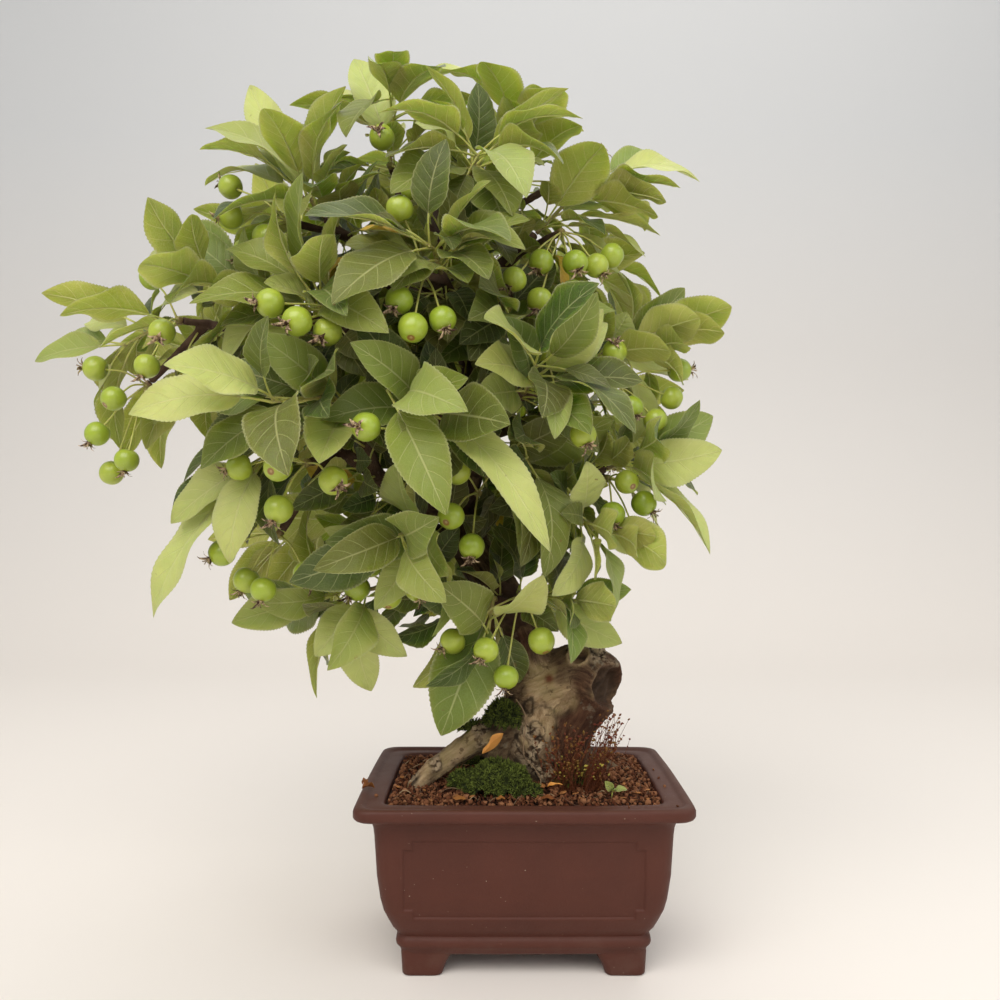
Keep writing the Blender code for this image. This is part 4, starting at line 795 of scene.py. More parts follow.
class Finish(Recipe):
    """A material in the making; the settings are its Principled node's own sockets."""

    def __init__(self, name, roughness, specular, **settings):
        self.material = bpy.data.materials.new(name)
        self.material.use_nodes = True
        super().__init__(self.material.node_tree)
        self.surface = self.tree.nodes["Principled BSDF"].inputs
        settings.update(Roughness=roughness, Specular_IOR_Level=specular)
        for label, value in settings.items():
            self.surface[label.replace("_", " ")].default_value = value
        self.where = self.out("ShaderNodeTexCoord", key="Object")

    def mix(self, share, first, second):
        return self.out("ShaderNodeMix", {0: share, 6: first, 7: second}, 2, data_type="RGBA")

    def value(self, name):
        return self.out("ShaderNodeAttribute", key="Fac", attribute_name=name)

    def noise(self, scale, detail=4.0, roughness=0.55):
        return self.cloud(self.where, scale, detail, roughness)

    def effect(self, name, *values):
        """A shared node group's outputs, with its inputs set in their order."""
        tree = bpy.data.node_groups.get(name) or GROUPS[name]()
        node = self.node("ShaderNodeGroup", node_tree=tree)
        for value, socket in zip(values, node.inputs):
            self.plug(value, socket)
        return [Wire(self, socket) for socket in node.outputs]

    def mask(self, name, *values):
        return self.effect(name, self.where, *values)[0]

    def patches(self, scale, middle=0.5, softness=0.1):
        return self.mask("patches", scale, middle, softness)

    def ramp(self, share, *stops):
        """A colour from stops of (place, colour)."""
        node = self.node("ShaderNodeValToRGB", {0: share})
        marks = node.color_ramp.elements
        for number, (spot, colour) in enumerate(stops):
            mark = marks[number] if number < 2 else marks.new(spot)
            mark.color = (*colour, 1)
        return Wire(self, node.outputs[0])

    def done(self, colour, height, depth, roughness=None):
        """Plugs in the colour, the relief and a roughness that changes."""
        self.plug(colour, self.surface["Base Color"])
        if roughness:
            self.plug(roughness, self.surface["Roughness"])
        self.plug(self.out("ShaderNodeBump", {"Height": height, "Distance": depth, "Strength": 1.0}),
                  self.surface["Normal"])
        return self.material


def shared(name, rule, look):
    """A finish that several pieces share, made when it is first asked for."""
    return bpy.data.materials.get(name) or rule(look)


def clay_material(look):
    f = Finish("brown_clay", 0.55, 0.3)
    base = f.mix(f.patches(26.0, 0.5, 0.2), look.clay_colour, [min(c * 1.13, 1) for c in look.clay_colour])
    base = f.mix(f.mask("settled_dust", 60.0, 0.35, 1.15) * 0.3, base, (0.12, 0.06, 0.04))
    splash = f.span(f.parts(f.where)[2], 0.03, 0.0)
    base = f.mix(splash * f.patches(70.0, 0.55, 0.12) * 0.2, base, (0.16, 0.1, 0.075))
    for scale, size, share, strength in ((210.0, 0.06, 0.2, 0.7), (420.0, 0.09, 0.1, 0.45)):
        base = f.mix(f.mask("specks", scale, size, share) * strength, base, (0.4, 0.3, 0.22))
    return f.done(base, f.noise(60.0) * 2.5 + f.noise(900.0, 3.0), 0.00012,
                  f.span(f.noise(90.0), first=0.48, last=0.66))


def bark_material(look):
    """Old bark is streaked along the grain, tan, ruddy or flaky in places, with painted shade in its cracks, between
    its flakes, at the trunk's neck, round and under the stump and in the stump's hollow; young wood is reddish.
    """
    f = Finish("grey_brown_bark", 0.85, 0.25)
    zones = {name: f.value(name) for name in BARK_KINDS}
    grain = f.out("ShaderNodeAttribute", key="Vector", attribute_name="grain")
    streaks, fine = f.cloud(grain, 420.0, 6.0, 0.7), f.noise(620.0, 6.0, 0.72)
    sharp = f.span(streaks, 0.38, 0.64)
    dark = f.mix(f.patches(55.0, 0.5, 0.15), look.bark_colour, (0.11, 0.064, 0.034))
    old = f.mix(sharp, dark, (0.2, 0.128, 0.068))
    tan = f.mix(sharp, (0.3, 0.19, 0.095), (0.56, 0.4, 0.23))
    tan = f.mix(f.patches(75.0, 0.52, 0.12) * 0.55, tan, (0.27, 0.225, 0.085))
    tan = f.mix(f.patches(260.0, 0.62, 0.04) * 0.7, tan, (0.09, 0.05, 0.026))
    old = f.mix(zones["pale"] * 0.95, old, tan)
    # partly the bark's own ruddy colour, partly painted shade at the trunk's neck and round and under the stump
    old = f.mix(zones["ruddy"], old, f.mix(sharp, (0.05, 0.018, 0.009), (0.135, 0.062, 0.032)))
    distance, colour, *_ = f.cells(f.where, 400.0)
    shade = f.out("ShaderNodeSeparateColor", {0: colour})
    flakes = f.mix(shade * 0.45 + fine * 0.7, (0.17, 0.105, 0.055), (0.58, 0.44, 0.28))
    # painted shade: the gaps between the flakes and the small holes are darkened
    gaps = f.span(distance, 0.55, 0.75).sum("MAXIMUM", f.patches(250.0, 0.6, 0.04))
    old = f.mix(zones["flaky"], old, f.mix(gaps, flakes, (0.06, 0.034, 0.018)))
    young = f.mix(f.patches(60.0, 0.5, 0.2), (0.055, 0.026, 0.016), (0.13, 0.08, 0.052))
    young = f.mix(f.mask("specks", 330.0, 0.24, 0.3) * 0.5, young, (0.22, 0.15, 0.1))
    base = f.mix(zones["girth"], young, old)
    base = f.mix(f.patches(140.0, 0.64, 0.03) * zones["girth"] * 0.22, base, (0.4, 0.36, 0.25))
    # painted shade: the cracks between the bark's ridges and round its knots are darkened
    base = f.mix(zones["crack"], base, (0.024, 0.014, 0.008))
    base = f.mix(zones["stain"], base, f.mix(fine, (0.07, 0.014, 0.006), (0.16, 0.035, 0.014)))
    # the stump's hollow: dark rotted wood and painted shade deep inside it
    base = f.mix(zones["dead"], base, f.mix(f.noise(240.0, 5.0), (0.014, 0.009, 0.006), (0.12, 0.07, 0.04)))
    plates = (gaps * -1.0 + 1.0) * zones["flaky"]
    return f.done(base, plates * 1.3 + (fine * 0.8 + streaks * 1.6), 0.0009)


def blade_material(look):
    """A leaf: dark to light by its tone, which is partly painted shade and light, yellower beneath, with pale veins, a
    pale edge of painted sheen and blemishes.
    """
    f = Finish("crabapple_leaf", 0.5, 0.35, Subsurface_Weight=0.25, Subsurface_Radius=(0.55, 1.0, 0.15),
               Subsurface_Scale=0.003, Sheen_Weight=0.05, Sheen_Roughness=0.4)
    under, aged = f.value("under"), f.value("aged")
    # The tone ramp runs from the shaded colour to the young and sunlit colour: partly the leaves' own colour, partly
    # painted shade inside the crown and painted light on its outside and front.
    tint = f.ramp(f.value("tone"), (0, look.shaded_colour), (1, look.young_and_sunlit_colour), (0.28, (0.05, 0.074, 0.013)),
                  (0.58, look.leaf_colour))
    veins, relief, edge, net = f.effect("leaf_veins", 6.5, 1.5, 0.055)
    cloud = f.patches(110.0, 0.5, 0.3)
    base = f.mix(under, f.mix(cloud * 0.22, tint, (0.17, 0.23, 0.05)), f.mix(0.72, tint, look.under_colour))
    drawn = (veins * (under * 0.3 + look.vein_strength)).sum("MAXIMUM", net * (under * 0.18 + 0.07))
    pale = f.mix(under, f.mix(0.25, (0.66, 0.68, 0.32), tint), (0.78, 0.74, 0.36))
    base = f.mix(drawn, base, pale)
    base = f.mix(f.patches(190.0, 0.72, 0.03) * 0.7, base, (0.16, 0.085, 0.03))
    base = f.mix(aged, base, f.mix(cloud, (0.5, 0.3, 0.03), (0.62, 0.44, 0.06)))
    # painted sheen: a pale band along the blade's edge
    base = f.mix(edge * 0.45, base, (0.45, 0.46, 0.17))
    relief = (net * -0.15 + relief) * (under * -2.2 + 1.0)
    return f.done(base, f.noise(1400.0, 2.0) * 0.22 + relief, 0.00034, f.span(under, first=0.46, last=0.72))


def stalk_material(look):
    """Twigs and stalks: reddish-brown where woody, yellow-green where young."""
    f = Finish("young_stalk", 0.5, 0.4, Subsurface_Weight=0.6, Subsurface_Radius=(0.7, 1.0, 0.3),
               Subsurface_Scale=0.003)
    young, cloud = f.value("young"), f.patches(110.0, 0.5, 0.2)
    woody = f.mix(cloud, (0.09, 0.038, 0.02), (0.17, 0.09, 0.045))
    fresh = f.mix(cloud * 0.5, look.stalk_colour, (0.3, 0.24, 0.07))
    fresh = f.mix(young.sum("MULTIPLY_ADD", 2.0, -2.0, clamp=True), fresh, (0.62, 0.66, 0.25))
    return f.done(f.mix(young, woody, fresh), f.noise(700.0), 0.00015)


def fruit_material(look):
    """Fruit skin with faint pale dots, a dry brown calyx with a brown ring round it, and painted shade in the basin
    round the stalk.
    """
    f = Finish("green_crabapple", 0.3, 0.5, Subsurface_Weight=0.12, Subsurface_Radius=(0.6, 1.0, 0.2),
               Subsurface_Scale=0.002, Coat_Weight=0.15, Coat_Roughness=0.25)
    pole, dry = f.value("pole"), f.value("dry")
    base = f.mix(f.value("tone"), look.fruit_colour, (0.46, 0.53, 0.06))
    reach = f.value("bare") * 0.1 + 0.14
    for share, colour in (
            (f.patches(120.0, 0.5, 0.25) * 0.4, (0.2, 0.3, 0.035)),
            (f.mask("specks", 900.0, 0.2, 0.4) * 0.35, (0.5, 0.55, 0.2)),
            (f.span(pole, reach + 0.05, reach) * 0.85, (0.26, 0.085, 0.025)),
            (f.span(pole, 0.12, 0.08) * 0.8, (0.5, 0.36, 0.16)),
            # painted shade: the skin darkens in the basin round the stalk
            (f.span(pole, 1.7, 1.95) * 0.5, (0.14, 0.2, 0.03))):
        base = f.mix(share, base, colour)
    husk = f.mix(f.span(f.noise(500.0), 0.42, 0.6), (0.06, 0.022, 0.012), (0.6, 0.43, 0.27))
    return f.done(f.mix(dry, base, husk), f.noise(500.0, 3.0), 0.0001, f.span(dry, first=0.3, last=0.9))


def granule_material(look, name="baked_granules"):
    """Reddish-brown granules, each a little lighter, redder or darker than the next."""
    f = Finish(name, 0.92, 0.2)
    own = f.value("tone") + (f.noise(260.0) * 0.5 + -0.25)
    base = f.ramp(own, (0, (0.03, 0.012, 0.007)), (1, (0.3, 0.13, 0.06)), (0.55, look.soil_colour))
    base = f.mix(f.mask("specks", 900.0, 0.3, 0.12) * 0.5, base, (0.34, 0.2, 0.12))
    return f.done(base, f.noise(1100.0, 5.0, 0.7), 0.0005)


def toned_material(name, roughness, dark, light, scale, relief=0.0002):
    """A small growth's finish: two colours by its tone and a noise."""
    f = Finish(name, roughness, 0.3)
    share = f.value("tone").sum("ADD", f.noise(scale) * 0.6 + -0.3, clamp=True)
    return f.done(f.mix(share, dark, light), f.noise(scale * 4), relief)


def stem_material(name, dark, light):
    """Dry stems, each with its own share of two colours."""
    f = Finish(name, 0.8, 0.3)
    share = f.value("young").sum("ADD", f.noise(300.0) * 0.4 + -0.2, clamp=True)
    return f.done(f.mix(share, dark, light), f.noise(900.0), 0.00015)


# ---- shared pieces of the geometry trees

class Growth(NodeGroup):
    """A geometry tree in the making."""

    def __init__(self, name, inputs, output):
        super().__init__(name, "Geometry", inputs, output)

    def named(self, name, kind="FLOAT"):
        """A stored value."""
        return self.out("GeometryNodeInputNamedAttribute", {0: name}, data_type=kind)

    def vector(self, name):
        return self.named(name, "FLOAT_VECTOR")

    def scaled(self, vector, amount):
        return self.out("ShaderNodeVectorMath", {0: vector, 3: amount}, operation="SCALE")

    def added(self, total, *vectors):
        for vector in vectors:
            total = self.out("ShaderNodeVectorMath", {0: total, 1: vector}, operation="ADD")
        return total

    def placed(self, unit, points, **places):
        """A unit object stood on each point, made real."""
        shape = self.outs("GeometryNodeObjectInfo", {"Object": unit})[-1]
        return self.out("GeometryNodeInstanceOnPoints", {"Points": points, "Instance": shape, **places})

    def real(self, instances):
        return self.out("GeometryNodeRealizeInstances", {0: instances})

    def dressed(self, geometry, material):
        return self.out("GeometryNodeSetMaterial", {"Geometry": geometry, "Material": material})

    def marks(self):
        """The marked loose points, and the stalk lines as tubes of their own thickness."""
        points, lines, *_ = self.outs("GeometryNodeSeparateGeometry", {0: self.lines, 1: self.named("marked")},
                                      domain="POINT")
        curve = self.out("GeometryNodeMeshToCurve", {"Mesh": lines})
        circle = self.out("GeometryNodeCurvePrimitiveCircle", {"Resolution": self.stalk_sides, "Radius": 1.0})
        thick = self.named("thick")
        tube = self.out("GeometryNodeCurveToMesh", {
            "Curve": self.out("GeometryNodeSetCurveRadius", {"Curve": curve, "Radius": thick}),
            "Profile Curve": circle, "Scale": thick, "Fill Caps": True})
        stalks = self.dressed(self.out("GeometryNodeSetShadeSmooth", {0: tube}), self.stalk_material)
        return self.out("GeometryNodeMeshToPoints", {"Mesh": points}), stalks

    def joined(self, first, second):
        node = self.node("GeometryNodeJoinGeometry")
        for part in (second, first):
            self.plug(part, node.inputs[0])
        return Wire(self, node.outputs[0])


def grow(obj, tree, values):
    """Adds a geometry tree to an object with its named inputs set, and bakes it."""
    modifier = obj.modifiers.new(tree.name, "NODES")
    modifier.node_group = tree
    for item in tree.interface.items_tree:
        if item.item_type == "SOCKET" and item.in_out == "INPUT" and item.name in values:
            modifier[item.identifier] = values[item.name]
    return baked(obj)


class Lines:
    """Points and edges of stalk lines, with each point's thickness and youth."""

    def __init__(self):
        self.points, self.edges, self.thick, self.young = [], [], [], []

    def add(self, points, thick, young):
        """A line; its thickness and youth are lists as long as its points."""
        first = len(self.points)
        self.points += [tuple(p) for p in points]
        self.edges += [(first + i, first + i + 1) for i in range(len(points) - 1)]
        self.thick += thick
        self.young += young

    def object(self, name, spots, values, vectors):
        """An object of these lines and of loose marked points, which carry values of their own."""
        first, after = len(self.points), [0.0] * len(spots)
        obj = mesh_object(name, [*self.points, *spots], [], self.edges)
        rows = {"thick": self.thick + after, "young": self.young + after, "marked": [0.0] * first + [1.0] * len(spots)}
        rows.update((label, [0.5] * first + own) for label, own in values.items())
        for label, own in rows.items():
            set_point_values(obj.data, label, own)
        for label, own in vectors.items():
            set_point_values(obj.data, label, [(0, 0, 1)] * first + own, "FLOAT_VECTOR")
        return obj


# ---- sprays: twigs, stalks and leaves

def unit_leaf(name, stations, teeth):
    """A thin closed blade laid flat, with toothed edges; the leaf tree bends and places it."""
    verts = [(0.0, 0.0, 0, 0.0)]

    def add(share, across, layer, swell=1.0):
        verts.append((share, across, layer, blade_outline(share) * swell))
        return len(verts) - 1

    rows, edges = [], []
    for station in range(1, stations):
        share = station / stations
        rows.append({layer: [add(share, across, layer) for across in (-0.55, 0, 0.55)] for layer in (1, -1)})
    tip = add(1.0, 0, 0)
    for across in (-1, 1):
        edge = [0]
        for notch in range(stations * teeth):
            edge.append(add((notch + 0.72) / stations / teeth, across, 0, 1 + LEAF_TOOTH))
            if notch < stations * teeth - 1:
                edge.append(add((notch + 1) / stations / teeth, across, 0))
        edges.append(edge + [tip])
    step = 2 * teeth
    faces = []
    for layer in (1, -1):
        sheet = []
        for station in range(stations):
            low = rows[station - 1][layer] if station else None
            high = rows[station][layer] if station < stations - 1 else None
            if low and high:
                sheet += [(low[k], low[k + 1], high[k + 1], high[k]) for k in (0, 1)]
            elif high:
                sheet += [(0, high[1], high[0]), (0, high[2], high[1])]
            else:
                sheet += [(low[0], low[1], tip), (low[1], low[2], tip)]
            for side, edge in enumerate(edges):
                rim = edge[station * step:(station + 1) * step + 1]
                inner = [ends[side * 2] for ends in (low, high) if ends]
                middle = len(rim) // 2
                fans = [(inner[0], rim[k], rim[k + 1]) for k in range(middle if len(inner) > 1 else len(rim) - 1)
                        if inner[0] not in rim[k:k + 2]]
                if len(inner) > 1:
                    fans += [(inner[1], rim[k], rim[k + 1]) for k in range(middle, len(rim) - 1)]
                    fans.append((inner[0], rim[middle], inner[1]))
                sheet += [fan[::-1] for fan in fans] if side == 0 else fans
        faces += sheet if layer == 1 else [(face[0], *face[:0:-1]) for face in sheet]
    blade = mesh_object(name, [(share, across * half, layer * 0.01) for share, across, layer, half in verts], faces)
    outward_faces(blade.data)
    mesh = blade.data
    for index, label in enumerate(("share", "across", "layer", "outline")):
        set_point_values(mesh, label, [float(v[index]) for v in verts])
    chart = mesh.uv_layers.new(name="blade")
    beneath = mesh.attributes.new("under", "FLOAT", "FACE")
    for polygon in mesh.polygons:
        beneath.data[polygon.index].value = float(any(verts[i][2] < 0 for i in polygon.vertices))
        for corner in polygon.loop_indices:
            share, across, _, _ = verts[mesh.loops[corner].vertex_index]
            chart.data[corner].uv = (share, across / 2 + 0.5)
    return blade


def spray_tree():
    """Bends the unit leaf by each leaf's own values and gives the stalk lines their thickness."""
    g = Growth("leafy_spray", {
        "Lines": "Geometry", "Unit leaf": "Object", "Stalk sides": 8, "Leaf thickness": 0.0004,
        "Blade material": "Material", "Stalk material": "Material"}, "Spray")
    points, stalks = g.marks()
    blades = g.real(g.placed(g.unit_leaf, points))
    share, across, layer, outline = (g.named(name) for name in ("share", "across", "layer", "outline"))
    length, width, stalk = g.parts(g.vector("size"))
    arch, sin_fold, cos_fold = g.parts(g.vector("bend"))
    wave, phase, droop = g.parts(g.vector("wave"))
    reach = (length - stalk) * share + stalk
    half = width * 0.5 * outline
    right = across.sum("GREATER_THAN", 0.0)
    ripple = (right * WAVE_SHIFT + (share * WAVES + phase)).sum("SINE") * wave
    off = across.sum("ABSOLUTE")
    rise = arch * length * (reach / length * math.pi).sum("SINE") + half * (off * sin_fold + off * off * ripple)
    rise = layer * (g.leaf_thickness * 0.5) + rise - share.sum("POWER", 5.0) * droop
    spot = g.added(g.vector("root"), g.scaled(g.vector("axis"), reach),
                   g.scaled(g.vector("side"), across * half * cos_fold), g.scaled(g.vector("up"), rise))
    bent = g.out("GeometryNodeSetPosition", {"Geometry": blades, "Position": spot})
    return g.give(Spray=g.joined(g.dressed(bent, g.blade_material), stalks))


def tone_of(leaf, draw):
    """How light a leaf is: pale near the crown's outside, dark and bluish in its heart; partly the leaves' own colour,
    partly painted light and shade.
    """
    middle = leaf.point(0.5, 0)
    total = sum(((value - heart) / reach) ** 2 for value, heart, reach in zip(middle, CROWN_HEART, CROWN_REACH))
    out = smoothstep(0.35, 1.0, math.sqrt(total))
    side = smoothstep(0.02, 0.16, abs(middle.x - CROWN_HEART[0]) + 0.5 * max(middle.z - CROWN_HEART[2], 0))
    # painted light: the front's shown leaves are made paler
    tone = 0.02 + 0.42 * out + 0.2 * side + draw.uniform(-0.34, 0.32) + (0.34 if leaf.shown else 0)
    tone += 0.3 if draw.random() < 0.12 else 0
    return min(max(tone, 0.02), 0.98)


def add_stalks(lines, leaves, scale=1.0):
    """Each leaf's stalk, which runs on beneath the blade as its midrib."""
    for leaf in leaves:
        points = [leaf.point(share, 0) - leaf.up * (sunk * MM + leaf.droop * max(share, 0) ** 5)
                  for share, _, sunk, _ in STALK_STATIONS]
        lines.add(points, [row[1] * MM * scale for row in STALK_STATIONS], [row[3] for row in STALK_STATIONS])


LEAF_VECTORS = {
    "root": lambda leaf: leaf.root, "axis": lambda leaf: leaf.axis, "side": lambda leaf: leaf.side,
    "up": lambda leaf: leaf.up, "size": lambda leaf: (leaf.length, leaf.width, leaf.stalk),
    "bend": lambda leaf: (leaf.arch, math.sin(leaf.fold), math.cos(leaf.fold)),
    "wave": lambda leaf: (leaf.wave, leaf.phase, leaf.droop)}


class LeafKit:
    """What leaves are grown with: a unit leaf, the spray tree and the two finishes."""

    def __init__(self, look, unit, blade=None, stalk=None):
        self.look, self.unit = look, unit
        self.tree = bpy.data.node_groups.get("leafy_spray") or spray_tree()
        self.blade = blade or shared("crabapple_leaf", blade_material, look)
        self.stalk = stalk or shared("young_stalk", stalk_material, look)

    def grow(self, name, lines, leaves, draw, tones, sides=8, yellow=0.0):
        """Grows the stalk lines and leaves into one mesh."""
        aged = [1.0 if draw.random() < yellow else draw.uniform(0, 0.12) for _ in leaves]
        vectors = {label: [tuple(rule(leaf)) for leaf in leaves] for label, rule in LEAF_VECTORS.items()}
        obj = lines.object(name, [leaf.root for leaf in leaves], {"tone": tones, "aged": aged}, vectors)
        grow(obj, self.tree, {"Unit leaf": self.unit, "Leaf thickness": self.look.leaf_thickness,
                              "Stalk sides": sides, "Blade material": self.blade, "Stalk material": self.stalk})
        obj.data.set_sharp_from_angle(angle=LEAF_RIM_ANGLE)
        return obj


def build_spray(name, number, kit):
    route, leaves = leaves_of(name, number)
    draw = random.Random(31 * number + 5)
    lines = Lines()
    smooth = catmull([(*spot, radius) for spot, radius in zip(route, TWIG_RADII)], 5)
    count = len(smooth) - 1
    lines.add([p[:3] for p in smooth], [p[3] * (0.86 if i else 0.7) for i, p in enumerate(smooth)],
              [0.15 + 0.75 * (i / count) for i in range(count + 1)])
    add_stalks(lines, leaves)
    tones = [tone_of(leaf, draw) for leaf in leaves]
    finish_piece(kit.grow("leafy_spray_" + name, lines, leaves, draw, tones), "leaf", "spray_" + name)


class Room:
    """What already fills the crown, so that a new leaf can be tried for room."""

    def __init__(self):
        self.trees = []
        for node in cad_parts:
            if node.startswith(("spray_", "fruit_")) or node == "wood":
                self.add(*solid_shape(node))

    def box(self, verts):
        return [(min(v[k] for v in verts), max(v[k] for v in verts)) for k in range(3)]

    def add(self, verts, faces):
        self.trees.append((self.box(verts), BVHTree.FromPolygons(verts, faces)))

    def free(self, verts, faces):
        own, shape = self.box(verts), BVHTree.FromPolygons(verts, faces)
        return not any(all(a[0] < b[1] and a[1] > b[0] for a, b in zip(box, own)) and tree.overlap(shape)
                       for box, tree in self.trees)


def leaf_patch(leaf):
    """A coarse sheet along a leaf's blade and stalk end, to try for room."""
    verts = [leaf.point(-0.3, 0)]
    verts += [leaf.point(share, across) for share in (0.08, 0.3, 0.55, 0.8) for across in (-1, 0, 1)]
    verts.append(leaf.point(1, 0))
    faces = [(0, 1, 2), (0, 2, 3), (10, 13, 11), (11, 13, 12)]
    faces += [(k, k + 1, k + 4, k + 3) for k in (1, 2, 4, 5, 7, 8)]
    return verts, faces


def build_inner_leaves(kit):
    """Small dark leaves on short spurs along the branches, wherever the crown has room, painted darker than the
    sprays' leaves as shade inside the crown.
    """
    room, draw, tries = Room(), random.Random(77), kit.look.inner_tries
    lines, leaves = Lines(), []
    limbs = [catmull([tuple(v * MM for v in spot) for spot in spots], 6)
             for spots in (*BRANCHES.values(), TRUNK[4:])]
    limbs += [[(*p, 1.5 * MM) for p in twig_route(name)] for name in SPRAYS]
    for points in limbs:
        for i, point in enumerate(points[1:-1] if len(points) > 4 else points[1:], 1):
            for turn in range(tries):
                spot = Vector(point[:3])
                ahead = (spot - Vector(points[i - 1][:3])).normalized()
                across = ahead.orthogonal().normalized()
                angle = GOLDEN_ANGLE * (i * tries + turn) + draw.uniform(-0.5, 0.5)
                heading = across * math.cos(angle) + ahead.cross(across) * math.sin(angle)
                root = spot + heading * point[3] * 0.7
                heading += ahead * draw.uniform(-0.2, 0.7) + UP * draw.uniform(-0.5, 0.4)
                heading -= Vector((0, draw.uniform(0, 0.5), 0))
                length = draw.uniform(20, 36) * MM
                tip = root + heading.normalized() * (length + STALK)
                leaf = Leaf(root, tip, length * draw.uniform(0.55, 0.72), draw, draw.choice((0, 0.8)))
                patch = leaf_patch(leaf)
                if in_crown(tip.lerp(Vector(CROWN_HEART), -0.08)) and room.free(*patch):
                    room.add(*patch)
                    leaves.append(leaf)
    add_stalks(lines, leaves, 0.85)
    # painted shade: the inner leaves are darker than the sprays' leaves
    tones = [max(tone_of(leaf, draw) * 0.6 - 0.04, 0.0) for leaf in leaves]
    finish_piece(kit.grow("inner_leaves", lines, leaves, draw, tones, 5, kit.look.aged_share), "leaf")


# ---- fruit

def unit_fruit():
    """One fruit of radius 1 with its stalk side up: a dimple there and a dry calyx beneath."""
    sides, levels = 24, 15
    verts = []
    for level in range(levels + 1):
        turn = math.pi * level / levels
        radius, height = math.sin(turn) ** 0.9 if 0 < level < levels else 0.0, math.cos(turn)
        depth, wide = (0.24, 0.22) if height > 0 else (0.12, 0.2)
        height = height * 0.985 - math.copysign(depth * math.exp(-(radius / wide) ** 2), height)
        radius *= 1.0 + 0.035 * math.cos(turn)
        for i in range(sides if radius else 1):
            angle = 2 * math.pi * i / sides
            lobed = radius * (1 + 0.012 * math.cos(5 * angle))
            verts.append((lobed * math.cos(angle), lobed * math.sin(angle), height))
    last = len(verts) - 1
    faces = []
    for i in range(sides):
        j = (i + 1) % sides
        faces += [(0, 1 + i, 1 + j), (last, last - sides + j, last - sides + i)]
        faces += [(a + i, a + sides + i, a + sides + j, a + j) for a in range(1, 1 + (levels - 2) * sides, sides)]
    dry = [0.0] * len(verts)
    low = Vector(verts[-1])
    for blade in range(5 + 7):
        sepal = blade < 5
        angle = 2 * math.pi * (blade / 5 if sepal else blade / 7) + 0.35 * math.sin(blade * 3.7)
        ahead = Vector((math.cos(angle), math.sin(angle), 0))
        aside = Vector((-ahead.y, ahead.x, 0))
        first = len(verts)
        if sepal:
            curl = [d + 0.09 * math.sin(blade * 2.3) * k for k, d in enumerate((0.06, -0.14, -0.32, -0.44, -0.42))]
            reach, half = (0.04, 0.17, 0.32, 0.52, 0.76), (0.1, 0.15, 0.14, 0.09, 0.015)
        else:
            curl = (0.05, -0.16, -0.34, -0.46 - 0.05 * (blade % 3), -0.52 - 0.06 * (blade % 3))
            reach, half = (0.02, 0.05, 0.07, 0.1, 0.17), (0.016, 0.014, 0.012, 0.02, 0.02)
        for lift in (0.012, -0.012):
            for out, drop, wide in zip(reach, curl, half):
                verts += [low + ahead * (out + lift) + aside * (wide * sign) + UP * (drop + lift) for sign in (-1, 1)]
        for a in range(first, first + 8, 2):
            b = a + 10
            faces += [(a, a + 1, a + 3, a + 2), (b, b + 2, b + 3, b + 1),
                      (a, a + 2, b + 2, b), (a + 1, b + 1, b + 3, a + 3)]
        faces += [(first, first + 10, first + 11, first + 1), (first + 8, first + 9, first + 19, first + 18)]
        dry += [1.0] * 20
    fruit = mesh_object("unit_fruit", verts, faces)
    outward_faces(fruit.data)
    poles = [1.0 if d else abs(2 * (v[2] >= 0) - math.hypot(v[0], v[1])) for v, d in zip(verts, dry)]
    set_point_values(fruit.data, "pole", poles)
    set_point_values(fruit.data, "dry", dry)
    return fruit


def bunch_tree():
    """Stands a unit shape on each marked point and gives the stalk lines their thickness."""
    g = Growth("stalked_bunch", {"Lines": "Geometry", "Unit": "Object", "Stalk sides": 8,
                                 "Unit material": "Material", "Stalk material": "Material"}, "Bunch")
    points, stalks = g.marks()
    turn = g.out("FunctionNodeAlignRotationToVector", {"Vector": g.vector("stalk_side")})
    units = g.real(g.placed(g.unit, points, Rotation=turn, Scale=g.vector("size")))
    kept = g.out("GeometryNodeDeleteGeometry", {0: units, 1: g.named("dry") * g.named("bare")}, domain="POINT")
    return g.give(Bunch=g.joined(g.dressed(kept, g.unit_material), stalks))


def build_bunch(name, number, look, unit, tree, skin, stalk):
    foot, ahead, crown, centres = fruits_of(name, number)
    draw = random.Random(17 * number + 3)
    lines = Lines()
    lines.add([foot + ahead * (KNOB_LENGTH * k / 5) for k in range(6)],
              [r * MM for r in (1.9, 2.15, 2.0, 2.3, 2.0, 1.3)], [0.0, 0.1, 0.2, 0.3, 0.4, 0.4])
    sides, sizes, tones, bare = [], [], [], []
    for centre in centres:
        arch = crown.lerp(centre, 0.5) + UP * PEDICEL_ARCH
        side = (arch - centre).normalized()
        radius = FRUIT_RADIUS * draw.uniform(0.95, 1.03)
        into = centre + side * radius * 0.66
        path = catmull([crown, crown.lerp(arch, 0.6) + UP * 0.6 * MM, arch, arch.lerp(into, 0.6), into], 3)
        shares = [k / (len(path) - 1) for k in range(len(path))]
        lines.add(path, [(0.5 + 0.4 * smoothstep(0.8, 1, s) + 0.3 * (1 - smoothstep(0, 0.15, s))) * MM
                         for s in shares], [0.6 + 0.4 * smoothstep(0, 0.3, s) for s in shares])
        sides.append(tuple(side))
        sizes.append((radius, radius, radius * draw.uniform(0.94, 1.02)))
        tones.append(draw.uniform(0.0, 1.0))
        bare.append(float(draw.random() < look.bare_share))
    obj = lines.object("fruits_" + name, centres, {"tone": tones, "bare": bare},
                       {"stalk_side": sides, "size": sizes})
    grow(obj, tree, {"Unit": unit, "Stalk sides": 8, "Unit material": skin, "Stalk material": stalk})
    finish_piece(obj, "fruit_skin", "fruit_" + name)


# ---- wood

